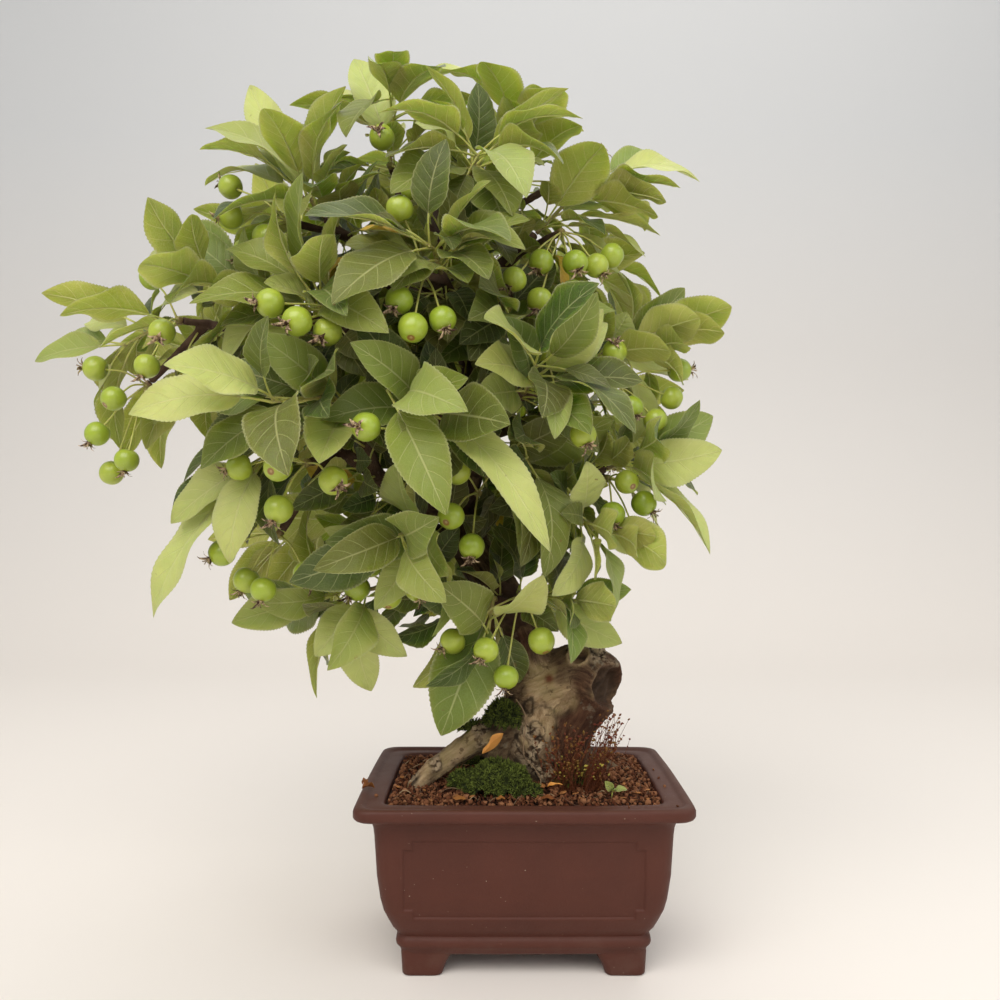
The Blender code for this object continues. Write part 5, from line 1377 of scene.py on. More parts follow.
def limb_rings(points, sides):
    """Rings round a line of (x, y, z, radius), turned with it, without twisting."""
    rings, across = [], None
    spots = [Vector(p[:3]) for p in points]
    for i, spot in enumerate(spots):
        ahead = (spots[min(i + 1, len(spots) - 1)] - spots[max(i - 1, 0)]).normalized()
        across = across or ahead.orthogonal().normalized()
        across = (across - ahead * across.dot(ahead)).normalized()
        other = ahead.cross(across)
        rings.append([spot + (across * math.cos(t) + other * math.sin(t)) * points[i][3]
                      for t in round_steps(sides)])
    return rings


def ring_faces(first, rings, sides):
    """Walls between rings of corners, and a lid at each end."""
    last = first + (rings - 1) * sides
    faces = [(low + i, low + (i + 1) % sides, low + sides + (i + 1) % sides, low + sides + i)
             for low in range(first, last, sides) for i in range(sides)]
    return faces + [tuple(first + i for i in range(sides))[::-1], tuple(last + i for i in range(sides))]


class Solidwork:
    """Closed bodies gathered in one mesh before they are melted together."""

    def __init__(self, *bodies):
        self.verts, self.faces = [], []
        for rings in bodies:
            self.add(rings)

    def add(self, rings):
        self.faces += ring_faces(len(self.verts), len(rings), len(rings[0]))
        self.verts += [tuple(p) for ring in rings for p in ring]

    def limb(self, spots, sides=20, steps=8, rounded=True):
        points = smooth_limb(spots, steps)
        if rounded:
            end, radius = Vector(points[-1][:3]), points[-1][3]
            ahead = (end - Vector(points[-2][:3])).normalized()
            points += [(*(end + ahead * radius * share * 0.5), radius * math.sqrt(1 - share * share * 1.6))
                       for share in (0.25, 0.45)]
        self.add(limb_rings(points, sides))
        return points

    def object(self, name):
        obj = mesh_object(name, self.verts, self.faces)
        outward_faces(obj.data)
        return obj


def foot_ring(height, cx, cy, rx, ry):
    """The trunk's fluted foot at a height."""
    ring = []
    flutes = smoothstep(0.085, 0.1, height)
    for angle in round_steps(72):
        swell = 1 + 0.05 * math.cos(3 * angle + height * 70) * flutes
        swell += 0.03 * math.cos(7 * angle + 1 + height * 40) * flutes
        ring.append((cx + rx * swell * math.cos(angle), cy + ry * swell * math.sin(angle), height))
    return ring


def build_wood(look, material):
    """Trunk, roots, stump, branches and spurs melted into one skin, then wrinkled along the grain."""
    work = Solidwork([foot_ring(*row) for row in smooth_limb(FOOT_SECTIONS, 4)])
    grain = [work.limb(spots, 32) for spots in (TRUNK, STUMP, STUMP_FLARE, *ROOTS.values())]
    grain += [work.limb(spots, rounded=False) for spots in BRANCHES.values()]
    for start, end, _ in BUNCHES.values():
        middle = tuple((a + b) / 2 for a, b in zip(start, end))
        grain.append(work.limb([(*start, 2.7), (*middle, 2.2), (*end, 2.3)], 16, 4, rounded=False))
    obj = work.object("trunk_and_branches")
    melt = obj.modifiers.new("melt", "REMESH")
    melt.mode = "VOXEL"
    melt.voxel_size = look.wood_fineness
    relax = obj.modifiers.new("relax", "SMOOTH")
    relax.factor = 0.5
    relax.iterations = 4
    baked(obj)
    wrinkle(obj.data, grain, look)
    smoothed(obj.data)
    finish_piece(coated(obj, material), "bark", "wood")


def nearness(spot, *balls):
    """1 within any of the balls (x, y, z, radius in mm), fading to 0 at one and a half radii."""
    return max(smoothstep(1.5, 0.7, (spot - place(ball)).length / (ball[3] * MM)) for ball in balls)


def grain_lines(grain):
    """Each limb's places with their way ahead, radius and distance travelled, and a tree to find them by."""
    lines = []
    for points in grain:
        travelled, spots = 0, [Vector(point[:3]) for point in points]
        for i, spot in enumerate(spots):
            ahead = spots[min(i + 1, len(points) - 1)] - spots[max(i - 1, 0)]
            travelled += (spot - spots[max(i - 1, 0)]).length
            lines.append((spot, ahead.normalized(), points[i][3], travelled))
    nearest = KDTree(len(lines))
    for index, line in enumerate(lines):
        nearest.insert(line[0], index)
    nearest.balance()
    return lines, nearest


def wrinkle(mesh, grain, look):
    """Moves the skin along its normals: ridges along each limb, plates, a ring scar, a hollow."""
    lines, nearest = grain_lines(grain)
    mouth, floor = place(STUMP_HOLLOW[0]), place(STUMP_HOLLOW[1])
    axis = (mouth - floor).normalized()
    split_way = (axis.cross(UP) + UP * 0.9).normalized()
    scar, scar_size = place(RING_SCAR[0]), RING_SCAR[1] * MM
    values = {name: [] for name in BARK_KINDS}
    grains, moved = [], []
    for vertex in mesh.vertices:
        spot = vertex.co
        middle, ahead, radius, travelled = lines[nearest.find(spot)[1]]
        offset = spot - middle
        run = offset.dot(ahead)
        girth = max(smoothstep(4.5 * MM, 8.5 * MM, radius), smoothstep(0.165, 0.12, spot.z))
        fold = (offset - ahead * run) + ahead * (run + travelled) * 0.17
        ridge = 1 - abs(noise.noise(fold * 230)) * 2.4
        streak = 1 - abs(noise.noise(fold * 620 + Vector((7, 0, 0)))) * 2
        plate, broad, fine = (noise.noise(spot * scale) for scale in (150, 42, 420))
        flaky = nearness(spot, *FLAKY_SPOTS) * smoothstep(-0.3, 0.05, noise.noise(spot * 110))
        pale = nearness(spot, *PALE_SPOTS) * smoothstep(-0.5, -0.1, noise.noise(spot * 90 + UP)) * (1 - flaky)
        ruddy = nearness(spot, *RUDDY_AND_SHADED_SPOTS) * (1 - pale) * (1 - flaky)
        old = 0.8 * ridge * ridge - 0.45 + 0.4 * plate + 0.9 * broad + 0.3 * streak
        old *= 1 - 0.6 * max(pale, ruddy) * smoothstep(0.108, 0.125, spot.z)
        old += flaky * (1.2 * plate + 1.3 * fine)
        # The crack mask marks the troughs between the ridges, where the bark's finish paints shade.
        crack = smoothstep(0.15, -0.4, ridge) * (1 - 0.75 * max(pale, ruddy) * smoothstep(0.1, 0.125, spot.z))
        for knot in BARK_KNOTS:
            away = (spot - place(knot)).length / (knot[3] * MM)
            if away < 1.3:
                wavy = math.cos(math.pi * 2 * (knot[4] * away + 0.35 * broad + 0.5 * plate))
                hold = smoothstep(1.3, 0.8, away)
                old += 0.75 * wavy * hold
                crack = max(crack * (1 - hold), hold * smoothstep(-0.35, -0.95, wavy))
        rise = look.bark_relief * old * girth + (0.14 * fine + 0.22 * broad) * MM * (1 - girth)
        shift, dead = Vector((0, 0, 0)), 0.0
        out = (spot - floor).dot(axis)
        across = spot - floor - axis * out
        rim = across.length
        if out > 0.2 * (mouth - floor).length and rim < STUMP_MOUTH * 1.3:
            splinter = across.dot(split_way)
            length = across - split_way * splinter
            splinters = noise.noise(split_way * splinter * 380 + length * 60)
            # The hollow's mask: dark rotted wood that the bark's finish also paints as shade.
            dead = smoothstep(STUMP_MOUTH * 1.15, STUMP_MOUTH * 0.75, rim + 3 * MM * noise.noise(spot * 90))
            shift = -axis * STUMP_DEPTH * dead * (0.75 + 0.5 * noise.noise(spot * 120) + 0.45 * splinters)
            lip = math.exp(-((rim - STUMP_MOUTH) / (1.5 * MM)) ** 2)
            rise += 0.8 * MM * lip * (1 + splinters)
            pale = max(pale, 0.6 * lip)
        away = (spot - scar).length
        ring = math.exp(-((away - scar_size) / (1.1 * MM)) ** 2)
        rise += 1.8 * MM * ring
        if away < scar_size:
            rise -= 1.2 * MM * smoothstep(scar_size, scar_size - 1.5 * MM, away)
            # painted shade: the scar's sunk middle is darkened as ruddy bark
            ruddy = max(ruddy, 0.5)
            flaky *= 0.2
        moved.extend(spot + vertex.normal * rise + shift)
        grains.append(tuple(fold))
        row = (girth, girth * crack * 0.85 * (1 - ring), dead, max(pale, ring), flaky * (1 - ring),
               ruddy * (1 - ring), nearness(spot, STAIN))
        for name, value in zip(BARK_KINDS, row):
            values[name].append(value)
    mesh.vertices.foreach_set("co", moved)
    for name, rows in values.items():
        set_point_values(mesh, name, rows)
    set_point_values(mesh, "grain", grains, "FLOAT_VECTOR")


# ---- pot

def pot_ring(height, inset, recessed):
    """One level of the pot, with the panels sunk into its outer walls."""
    half = [full - inset for full in POT_HALF]
    corner = RIM_CORNER + (BODY_CORNER - RIM_CORNER) * min(inset / (10 * MM), 1)
    straight = [side - POT_BOW - corner for side in half]
    runs = [[stop * min(1, (side - 0.7 * MM) / places[-1]) for stop in places]
            for side, places in zip(half, PANEL_STOPS)]
    low, high = PANEL_HEIGHTS
    up = abs(height - (low + high) / 2) - (high - low) / 2

    def wall(side, run):
        """How far out the front (0) or the right side (1) is at a distance from its middle."""
        over = abs(run) - straight[side]
        if over <= 0:
            out = half[1 - side] - POT_BOW * (run / straight[side]) ** 2
        else:
            out = half[1 - side] - POT_BOW - corner + math.sqrt(max(corner * corner - over * over, 0))
        past = abs(run) - PANEL_HALVES[side]
        edge = max(past, up, min(past + PANEL_NOTCH, up + PANEL_NOTCH))
        return out - (PANEL_DEPTH * (1 - smoothstep(-0.75 * MM, 0.55 * MM, edge)) if recessed else 0)

    quarter = [(run, wall(0, run)) for run in runs[0]]
    first, last = (math.asin(min(max((places[-1] - flat) / corner, 0), 1)) for places, flat in zip(runs, straight))
    before, after = (max(flat - places[-1], 0) for places, flat in zip(runs, straight))
    arc = (math.pi / 2 - last - first) * corner
    total = before + arc + after
    for way in round_steps(CORNER_POINTS, total)[1:]:
        if way < before:
            run = runs[0][-1] + way
            quarter.append((run, wall(0, run)))
        elif way < before + arc:
            angle = first + (way - before) / corner
            quarter.append((straight[0] + corner * math.sin(angle), straight[1] + corner * math.cos(angle)))
        else:
            run = runs[1][-1] + total - way
            quarter.append((wall(1, run), run))
    quarter += [(wall(1, run), run) for run in runs[1][::-1]]
    ring = quarter + [(x, -y) for x, y in quarter[-2::-1]] + [(-x, -y) for x, y in quarter[1:]]
    ring += [(-x, y) for x, y in quarter[-2:0:-1]]
    spots = []
    for x, y in ring:
        uneven = noise.noise(Vector((x, y, height)) * 22) * 0.22 * MM
        out = Vector((x, y, 0)).normalized() * (uneven - 0.15 * MM)
        lift = (noise.noise(Vector((x, y, 0.3)) * 14) * 0.5 - 0.2) * MM * smoothstep(0.03, 0.09, height)
        spots.append((x + out.x, y + out.y, min(height + lift, 0.09)))
    return spots


def pot_heights():
    """The profile's own levels with more between them, close together at the panels' edges."""
    levels = []
    for (z0, i0), (z1, i1) in zip(POT_LEVELS, POT_LEVELS[1:]):
        steps = max(1, round(math.hypot(z1 - z0, i1 - i0) / (1.8 if i0 < 14.3 or z0 < 30 and z1 > z0 else 5)))
        levels += [(z0 + (z1 - z0) * k / steps, i0 + (i1 - i0) * k / steps) for k in range(steps)]
    levels.append(POT_LEVELS[-1])
    top = levels.index(max(levels, key=lambda level: level[0]))
    low, high = PANEL_HEIGHTS
    for edge in (low, low + PANEL_NOTCH, high - PANEL_NOTCH, high):
        for step in (-0.7, -0.25, 0.2, 0.65):
            wanted = edge / MM + step
            for k in range(top):
                (z0, i0), (z1, i1) = levels[k], levels[k + 1]
                if z0 < wanted < z1:
                    levels.insert(k + 1, (wanted, i0 + (i1 - i0) * (wanted - z0) / (z1 - z0)))
                    top += 1
                    break
    return levels, top


def foot_level(sx, sy, height, inset):
    """A foot's outline: upright outer sides, inner sides slanting in towards the table."""
    share = height / (FOOT_TOP / MM)
    lean = 0.8 * MM * (1 - share)
    middle, half = [], []
    for outer, high, low in zip(FOOT_OUTER, *FOOT_SPAN):
        span = low + (high - low) * share ** 1.5
        middle.append(outer - lean - span / 2)
        half.append(span / 2 - inset * MM - FOOT_CORNER)
    ring = []
    for turn, (ax, ay) in enumerate(((1, 1), (-1, 1), (-1, -1), (1, -1))):
        for step in range(9):
            angle = (turn + step / 8) * math.pi / 2
            ring.append((sx * (middle[0] + ax * half[0] + FOOT_CORNER * math.cos(angle)),
                         sy * (middle[1] + ay * half[1] + FOOT_CORNER * math.sin(angle)), height * MM))
    return ring


def build_pot(material):
    levels, top = pot_heights()
    pot = Solidwork([pot_ring(z * MM, inset * MM, k < top) for k, (z, inset) in enumerate(levels)]).object("clay_pot")
    legs = Solidwork(*([foot_level(sx, sy, *level) for level in FOOT_LEVELS]
                       for sx in (-1, 1) for sy in (-1, 1))).object("feet")
    drill = Solidwork(*([[(x + DRAIN_RADIUS * math.cos(t), DRAIN_RADIUS * math.sin(t), z) for t in round_steps(40)]
                         for z in (8 * MM, 20 * MM)] for x in (-DRAIN_X, DRAIN_X))).object("drain_drills")
    for operation, other in (("UNION", legs), ("DIFFERENCE", drill)):
        cut = pot.modifiers.new(operation.lower(), "BOOLEAN")
        cut.operation = operation
        cut.solver = "MANIFOLD"
        cut.object = other
    baked(pot)
    removed(legs, drill)
    smoothed(pot.data).set_sharp_from_angle(angle=math.radians(42))
    finish_piece(coated(pot, material), "clay", "pot")


# ---- soil cover and what grows and lies on it

def soil_height(x, y):
    dx, dy = ((value - middle) / reach for value, middle, reach in zip((x, y), MOUND_MIDDLE, MOUND_REACH))
    uneven = 0.5 * MM * math.sin(x / (7 * MM)) * math.sin(y / (6 * MM) + 1)
    return SOIL_EDGE + SOIL_MOUND * math.exp(-dx * dx - dy * dy) + uneven


def in_rim(x, y, margin=1.8 * MM):
    """Inside the pot's inner wall, by a margin."""
    half_x, half_y = (half - 14.7 * MM - margin for half in POT_HALF)
    corner = 7 * MM
    return math.hypot(max(abs(x) - half_x + corner, 0), max(abs(y) - half_y + corner, 0)) < corner


def at_foot(x, y, grow=0.0):
    dx = (x - 6 * MM) / (29 * MM + grow)
    dy = (y - 2 * MM) / (22 * MM + grow)
    return dx * dx + dy * dy < 1


def grid_faces(cells, index):
    """The quads of a grid whose corners are numbered by their place."""
    return [tuple(index[i + a, j + b] for a, b in SQUARE) for i, j in cells
            if all((i + a, j + b) in index for a, b in SQUARE)]


def soil_surface(name, keep, cell=2.2 * MM):
    """The part of the soil's surface that a rule keeps, as a grid to strew things on."""
    steps_x, steps_y = int(72 * MM / cell), int(52 * MM / cell)
    cells = [(i, j) for i in range(-steps_x, steps_x) for j in range(-steps_y, steps_y)
             if keep((i + 0.5) * cell, (j + 0.5) * cell)]
    index = {}
    for i, j in cells:
        for a, b in SQUARE:
            index.setdefault((i + a, j + b), len(index))
    verts = [(i * cell, j * cell, soil_height(i * cell, j * cell)) for i, j in index]
    return mesh_object(name, verts, grid_faces(cells, index))


def rim_surface(name, cell=2 * MM):
    """The flat top of the rim where crumbs lie, mostly at its right end."""
    verts, faces = [], []
    for i in range(-38, 38):
        for j in range(-28, 28):
            x, y = (i + 0.5) * cell, (j + 0.5) * cell
            outside = abs(x) > 72.5 * MM or abs(y) > 52.5 * MM
            right = x > 60 * MM and y < 30 * MM
            if outside and not in_rim(x, y, -3 * MM) and (right or (i * 7 + j * 13) % 9 == 0):
                faces.append(tuple(range(len(verts), len(verts) + 4)))
                verts += [((i + a) * cell, (j + b) * cell, 88.9 * MM) for a, b in SQUARE]
    return mesh_object(name, verts, faces)


def unit_grain():
    """A small angular lump of 24 faces."""
    shape = bmesh.new()
    bmesh.ops.create_cube(shape, size=1.5)
    bmesh.ops.subdivide_edges(shape, edges=shape.edges, cuts=1, use_grid_fill=True)
    for vertex in shape.verts:
        vertex.co = vertex.co.lerp(vertex.co.normalized(), 0.72)
    for face in shape.faces:
        face.smooth = True
    return shape_object("unit_grain", shape)


def unit_crumb():
    shape = bmesh.new()
    bmesh.ops.create_icosphere(shape, subdivisions=1, radius=1.0)
    for number, vertex in enumerate(shape.verts):
        vertex.co *= 1 + 0.3 * math.sin(number * 2.3)
    return shape_object("unit_crumb", shape)


def scatter_tree():
    """Strews a unit shape over a surface, turned, sized and made uneven at random."""
    g = Growth("scatter", {
        "Surface": "Geometry", "Unit": "Object", "Spacing": 0.002, "Density": 200000.0, "Seed": 1,
        "Smallest": "Vector", "Largest": "Vector", "Tilt": 6.3, "Lift": 0.0, "Unevenness": 0.0,
        "Material": "Material"}, "Strewn")
    points, normal, *_ = g.outs("GeometryNodeDistributePointsOnFaces", {
        "Mesh": g.surface, "Distance Min": g.spacing, "Density Max": g.density, "Seed": g.seed},
        distribute_method="POISSON")
    ends = [g.out("ShaderNodeCombineXYZ", {0: g.tilt * half, 1: g.tilt * half, 2: 6.2832 * half})
            for half in (-0.5, 0.5)]
    turn = g.out("FunctionNodeRandomValue", dict(enumerate(ends)), data_type="FLOAT_VECTOR")
    size = g.out("FunctionNodeRandomValue", {0: g.smallest, 1: g.largest, "Seed": g.seed}, data_type="FLOAT_VECTOR")
    both = g.out("FunctionNodeRandomValue", {2: 0.6, 3: 1.3}, 1, data_type="FLOAT")
    spin = g.out("FunctionNodeRotateRotation", {
        "Rotation": g.out("FunctionNodeAlignRotationToVector", {"Vector": normal}),
        "Rotate By": g.out("FunctionNodeEulerToRotation", {0: turn})}, rotation_space="LOCAL")
    toned = g.out("GeometryNodeStoreNamedAttribute", {
        "Geometry": g.placed(g.unit, points, Rotation=spin, Scale=g.scaled(size, both)), "Name": "tone",
        "Value": g.out("FunctionNodeRandomValue", key=1, data_type="FLOAT")}, domain="INSTANCE")
    rough = g.cloud(g.out("GeometryNodeInputPosition"), 420.0, 2.0, key="Color")
    push = g.scaled(g.added(rough, (-0.5, -0.5, -0.5)), g.unevenness)
    moved = g.out("GeometryNodeSetPosition", {
        "Geometry": g.real(toned), "Offset": g.added(push, g.out("ShaderNodeCombineXYZ", {2: g.lift}))})
    return g.give(Strewn=g.dressed(moved, g.material))


def merged(name, pieces):
    """Several plain meshes joined in one object."""
    shape, materials = bmesh.new(), []
    for piece in pieces:
        mesh = piece.data
        materials += [material for material in mesh.materials if material not in materials]
        slots = [materials.index(material) for material in mesh.materials]
        if slots:
            mesh.polygons.foreach_set("material_index",
                                      [slots[min(p.material_index, len(slots) - 1)] for p in mesh.polygons])
        shape.from_mesh(mesh)
    obj = shape_object(name, shape)
    for material in materials:
        obj.data.materials.append(material)
    removed(*pieces)
    return obj


def build_granules(look, unit, tree, material):
    """The loose granules that cover the soil, fine crumbs between them, and a few on the rim."""
    crumb, size = unit_crumb(), look.grain_size
    cover = soil_surface("cover", lambda x, y: in_rim(x, y) and not at_foot(x, y, -1.5 * MM))
    second = soil_surface("second_layer", lambda x, y: in_rim(x, y, 3 * MM) and not at_foot(x, y, 1 * MM)
                          and noise.noise(Vector((x, y, 0)) * 60) > -0.15)
    rim = rim_surface("rim_crumbs")
    pieces = []
    for surface, shape, seed, spacing, low, high, lift, uneven in (
            (cover, unit, 4, 1.3, 0.32, 0.72, 0.2, 1.2), (cover, crumb, 5, 0.62, 0.16, 0.4, 1.2, 1.5),
            (second, unit, 11, 1.9, 0.28, 0.62, 1.8, 1.2), (second, crumb, 12, 0.85, 0.14, 0.36, 2.3, 1.4),
            (rim, unit, 6, 2.2, 0.13, 0.4, 0.35, 0.4)):
        pieces.append(grow(copied(surface), tree, {
            "Unit": shape, "Spacing": size * spacing, "Density": 9000.0 if surface == rim else 900000.0,
            "Seed": seed, "Smallest": [size * low] * 3, "Largest": [size * high] * 3, "Lift": lift * MM,
            "Unevenness": uneven * MM, "Material": material}))
    removed(cover, second, rim, crumb)
    finish_piece(merged("soil_granules", pieces), "granules")


def unit_tuft():
    """A tiny star of pointed moss leaves standing up from one point."""
    verts, faces = [], []
    for leaf in range(6):
        angle = 2 * math.pi * leaf / 6 + 0.4 * (leaf % 2)
        ahead = Vector((math.cos(angle), math.sin(angle), 0))
        aside = Vector((-ahead.y, ahead.x, 0))
        lift, first = 0.9 + 0.5 * (leaf % 3), len(verts)
        for out, rise, wide in ((0.05, 0, 0.14), (0.45, 0.6 * lift, 0.2)):
            verts += [ahead * out + aside * wide + UP * rise, ahead * out - aside * wide + UP * rise]
        verts.append(ahead * 0.95 + UP * 0.85 * lift)
        faces += [(first, first + 1, first + 3, first + 2), (first + 2, first + 3, first + 4)]
    return mesh_object("unit_tuft", verts, faces)


def cushion(name, middle, radii, cells=26):
    """An uneven dome to grow moss on."""
    verts, index = [], {}
    for i in range(-cells, cells + 1):
        for j in range(-cells, cells + 1):
            u, v = i / cells, j / cells
            away = math.hypot(u, v) + 0.28 * noise.noise(Vector((u, v, middle[0] * 50)) * 1.9)
            if away < 1:
                x, y = middle[0] + u * radii[0], middle[1] + v * radii[1]
                bump = 1.3 * MM * noise.noise(Vector((x, y, 0)) * 170)
                index[i, j] = len(verts)
                verts.append((x, y, middle[2] + radii[2] * math.sqrt(1 - max(away, 0) ** 2) + bump))
    return mesh_object(name, verts, grid_faces(index, index))


def build_moss(tree, material):
    """Moss cushions in front of the left root, on top of it and at the trunk's foot."""
    unit, pieces = unit_tuft(), []
    for number, spots in enumerate(MOSS_SPOTS):
        dome = cushion("cushion", *in_metres(spots))
        core = coated(copied(dome), material)
        set_point_values(core.data, "tone", [0.1] * len(core.data.vertices))
        pieces += [core, grow(dome, tree, {
            "Unit": unit, "Spacing": 0.75 * MM, "Density": 3000000.0, "Seed": number,
            "Smallest": [0.8 * MM] * 3, "Largest": [1.5 * MM] * 3, "Tilt": 1.1, "Unevenness": 0.5 * MM,
            "Material": material})]
    removed(unit)
    finish_piece(merged("moss_cushions", pieces), "leaf")


def unit_capsule():
    """A tiny urn on the end of a moss stalk, its mouth along +Z."""
    sides = 6
    verts = [(radius * math.cos(t), radius * math.sin(t), z)
             for radius, z in ((0.5, -0.8), (0.85, -0.2), (0.8, 0.5), (0.5, 0.85), (0.3, 1.25))
             for t in round_steps(sides)]
    foot, top = len(verts), len(verts) + 1
    faces = ring_faces(0, 5, sides)[:-2]
    for k in range(sides):
        faces += [(foot, (k + 1) % sides, k), (top, 4 * sides + k, 4 * sides + (k + 1) % sides)]
    urn = mesh_object("unit_capsule", verts + [(0, 0, -1.0), (0, 0, 1.6)], faces)
    outward_faces(urn.data)
    set_point_values(urn.data, "dry", [0.0] * (top + 1))
    return urn


def build_moss_capsules(look, tree, urn_material, stem_material):
    """The reddish tuft of moss stalks with their capsules, leaning to the right."""
    draw = random.Random(21)
    lines, spots, sides, sizes, tones = Lines(), [], [], [], []
    for _ in range(look.moss_stalks):
        angle, away = draw.uniform(0, 2 * math.pi), math.sqrt(draw.random())
        x = 28 * MM + 12 * MM * away * math.cos(angle)
        y = -30 * MM + 7 * MM * away * math.sin(angle)
        root = Vector((x, y, soil_height(x, y) - 0.5 * MM))
        height = draw.uniform(0.25, 1) * draw.uniform(0.8, 1) * 40 * MM
        lean = Vector((draw.uniform(-0.55, 0.55), draw.uniform(-0.4, 0.25), 1))
        if x > 30 * MM:
            lean.x = draw.uniform(0.2, 0.5)
            height = draw.uniform(12, 44) * MM
        tip = root + lean.normalized() * height
        bend = root.lerp(tip, 0.5) + Vector((draw.uniform(-1, 1), draw.uniform(-1, 1), 0)) * 4.5 * MM
        path = catmull([root, bend, tip], 3)
        share = draw.random()
        lines.add(path, [0.1 * MM] * (len(path) - 1) + [0.07 * MM], [share * 0.8] * len(path))
        nod = (Vector(path[-1]) - Vector(path[-2])).normalized()
        nod += Vector((draw.uniform(-1, 1), draw.uniform(-1, 1), draw.uniform(-1, 0.2)))
        size = draw.uniform(0.45, 0.78) * MM
        green = height < 22 * MM and x > 22 * MM and draw.random() < 0.35
        tone = 1.0 if green else 0.45 * share * draw.random()
        urns = [(path[-1], 1, 1.25)] + ([(path[-2], 0.7, 1)] if draw.random() < 0.6 else [])
        for spot, width, reach in urns:
            spots.append(spot)
            sides.append(tuple(nod.normalized()))
            sizes.append((size * width, size * width, size * reach))
            tones.append(tone)
    unit = unit_capsule()
    obj = lines.object("moss_capsules", spots, {"tone": tones, "bare": [0.0] * len(spots)},
                       {"stalk_side": sides, "size": sizes})
    grow(obj, tree, {"Unit": unit, "Stalk sides": 4, "Unit material": urn_material,
                     "Stalk material": stem_material})
    removed(unit)
    finish_piece(obj, "leaf")


def small_leaf(root, tip, width, facing, stalk, fold=0.4, arch=0.1, wave=0.1, droop=0.0):
    """A leaf given one by one, in millimetres, for the seedling and the fallen leaves."""
    leaf = Leaf(place(root), place(tip), width * MM, random.Random(int(root[0] * 10)), 0)
    leaf.turn_to(Vector(facing))
    leaf.fold, leaf.arch, leaf.wave, leaf.stalk, leaf.droop = fold, arch, wave, stalk * MM, droop * MM
    return leaf


def build_seedling(kit):
    lines = Lines()
    foot = soil_height(0.0456, -0.036) / MM - 1
    top = (45.6, -36.4, foot + 4.5)
    stem = [(45.6, -36, foot), (45.5, -36.1, foot + 3), top]
    lines.add([place(spot) for spot in stem], [0.45 * MM] * 3, [1.0] * 3)
    leaves = [small_leaf(top, (41.5, -38.5, top[2] + 6), 5, (0.2, -0.9, 0.2), 1),
              small_leaf(top, (53, -39, top[2] + 1.5), 4.8, (0, -0.55, 1), 1.5),
              small_leaf(top, (47, -40, top[2] + 2), 2.2, (0, -0.6, 1), 1)]
    add_stalks(lines, leaves, 0.45)
    finish_piece(kit.grow("seedling", lines, leaves, random.Random(1), [0.72, 0.8, 0.66], 6), "leaf")


def build_litter(look, kit, scatter, chips):
    """Fallen leaf bits, dry rootlets and bark chips on the soil and the rim."""
    draw = random.Random(9)
    lines = Lines()
    path = catmull([(*place(spot), draw.uniform(0.2, 0.3) * MM) for spot in LONG_ROOTLET], 5)
    lines.add([p[:3] for p in path], [p[3] for p in path], [0.35] * len(path))
    placed = 0
    while placed < look.rootlets:
        x, y = draw.uniform(-66, 66) * MM, draw.uniform(-47, 30) * MM
        if not in_rim(x, y, 3 * MM) or at_foot(x, y, 4 * MM):
            continue
        turn, curl, path = draw.uniform(0, 6.3), draw.uniform(-0.5, 0.5), []
        length, thick = draw.uniform(1.2, 2.6) * MM, draw.uniform(0.12, 0.26) * MM
        for step in range(8):
            path.append((x, y, soil_height(x, y) + (2.2 + 1.8 * math.sin(step * 0.8 + curl * 4)) * MM))
            turn += curl + draw.uniform(-0.2, 0.2)
            x, y = x + length * math.cos(turn), y + length * math.sin(turn)
            if not in_rim(x, y, 1 * MM):
                break
        if len(path) > 2:
            lines.add(path, [thick] * len(path), [draw.random() ** 2 * 0.9] * len(path))
            placed += 1
    leaves = [small_leaf(*row) for row in FALLEN_LEAVES]
    bits = kit.grow("fallen_bits", lines, leaves, draw, LITTER_TONES, 5)
    grain = unit_grain()
    floor = soil_surface("chip_floor", lambda x, y: in_rim(x, y, 4 * MM) and not at_foot(x, y, 4 * MM))
    strewn = grow(floor, scatter, {
        "Unit": grain, "Spacing": 6 * MM, "Density": 30000.0, "Seed": 8, "Smallest": [0.8 * MM, 0.5 * MM, 0.12 * MM],
        "Largest": [2.6 * MM, 1.3 * MM, 0.3 * MM], "Tilt": 0.9, "Lift": 2.9 * MM, "Unevenness": 0.8 * MM,
        "Material": chips})
    removed(grain)
    finish_piece(merged("litter", [bits, strewn]), "granules")


# ---- stage

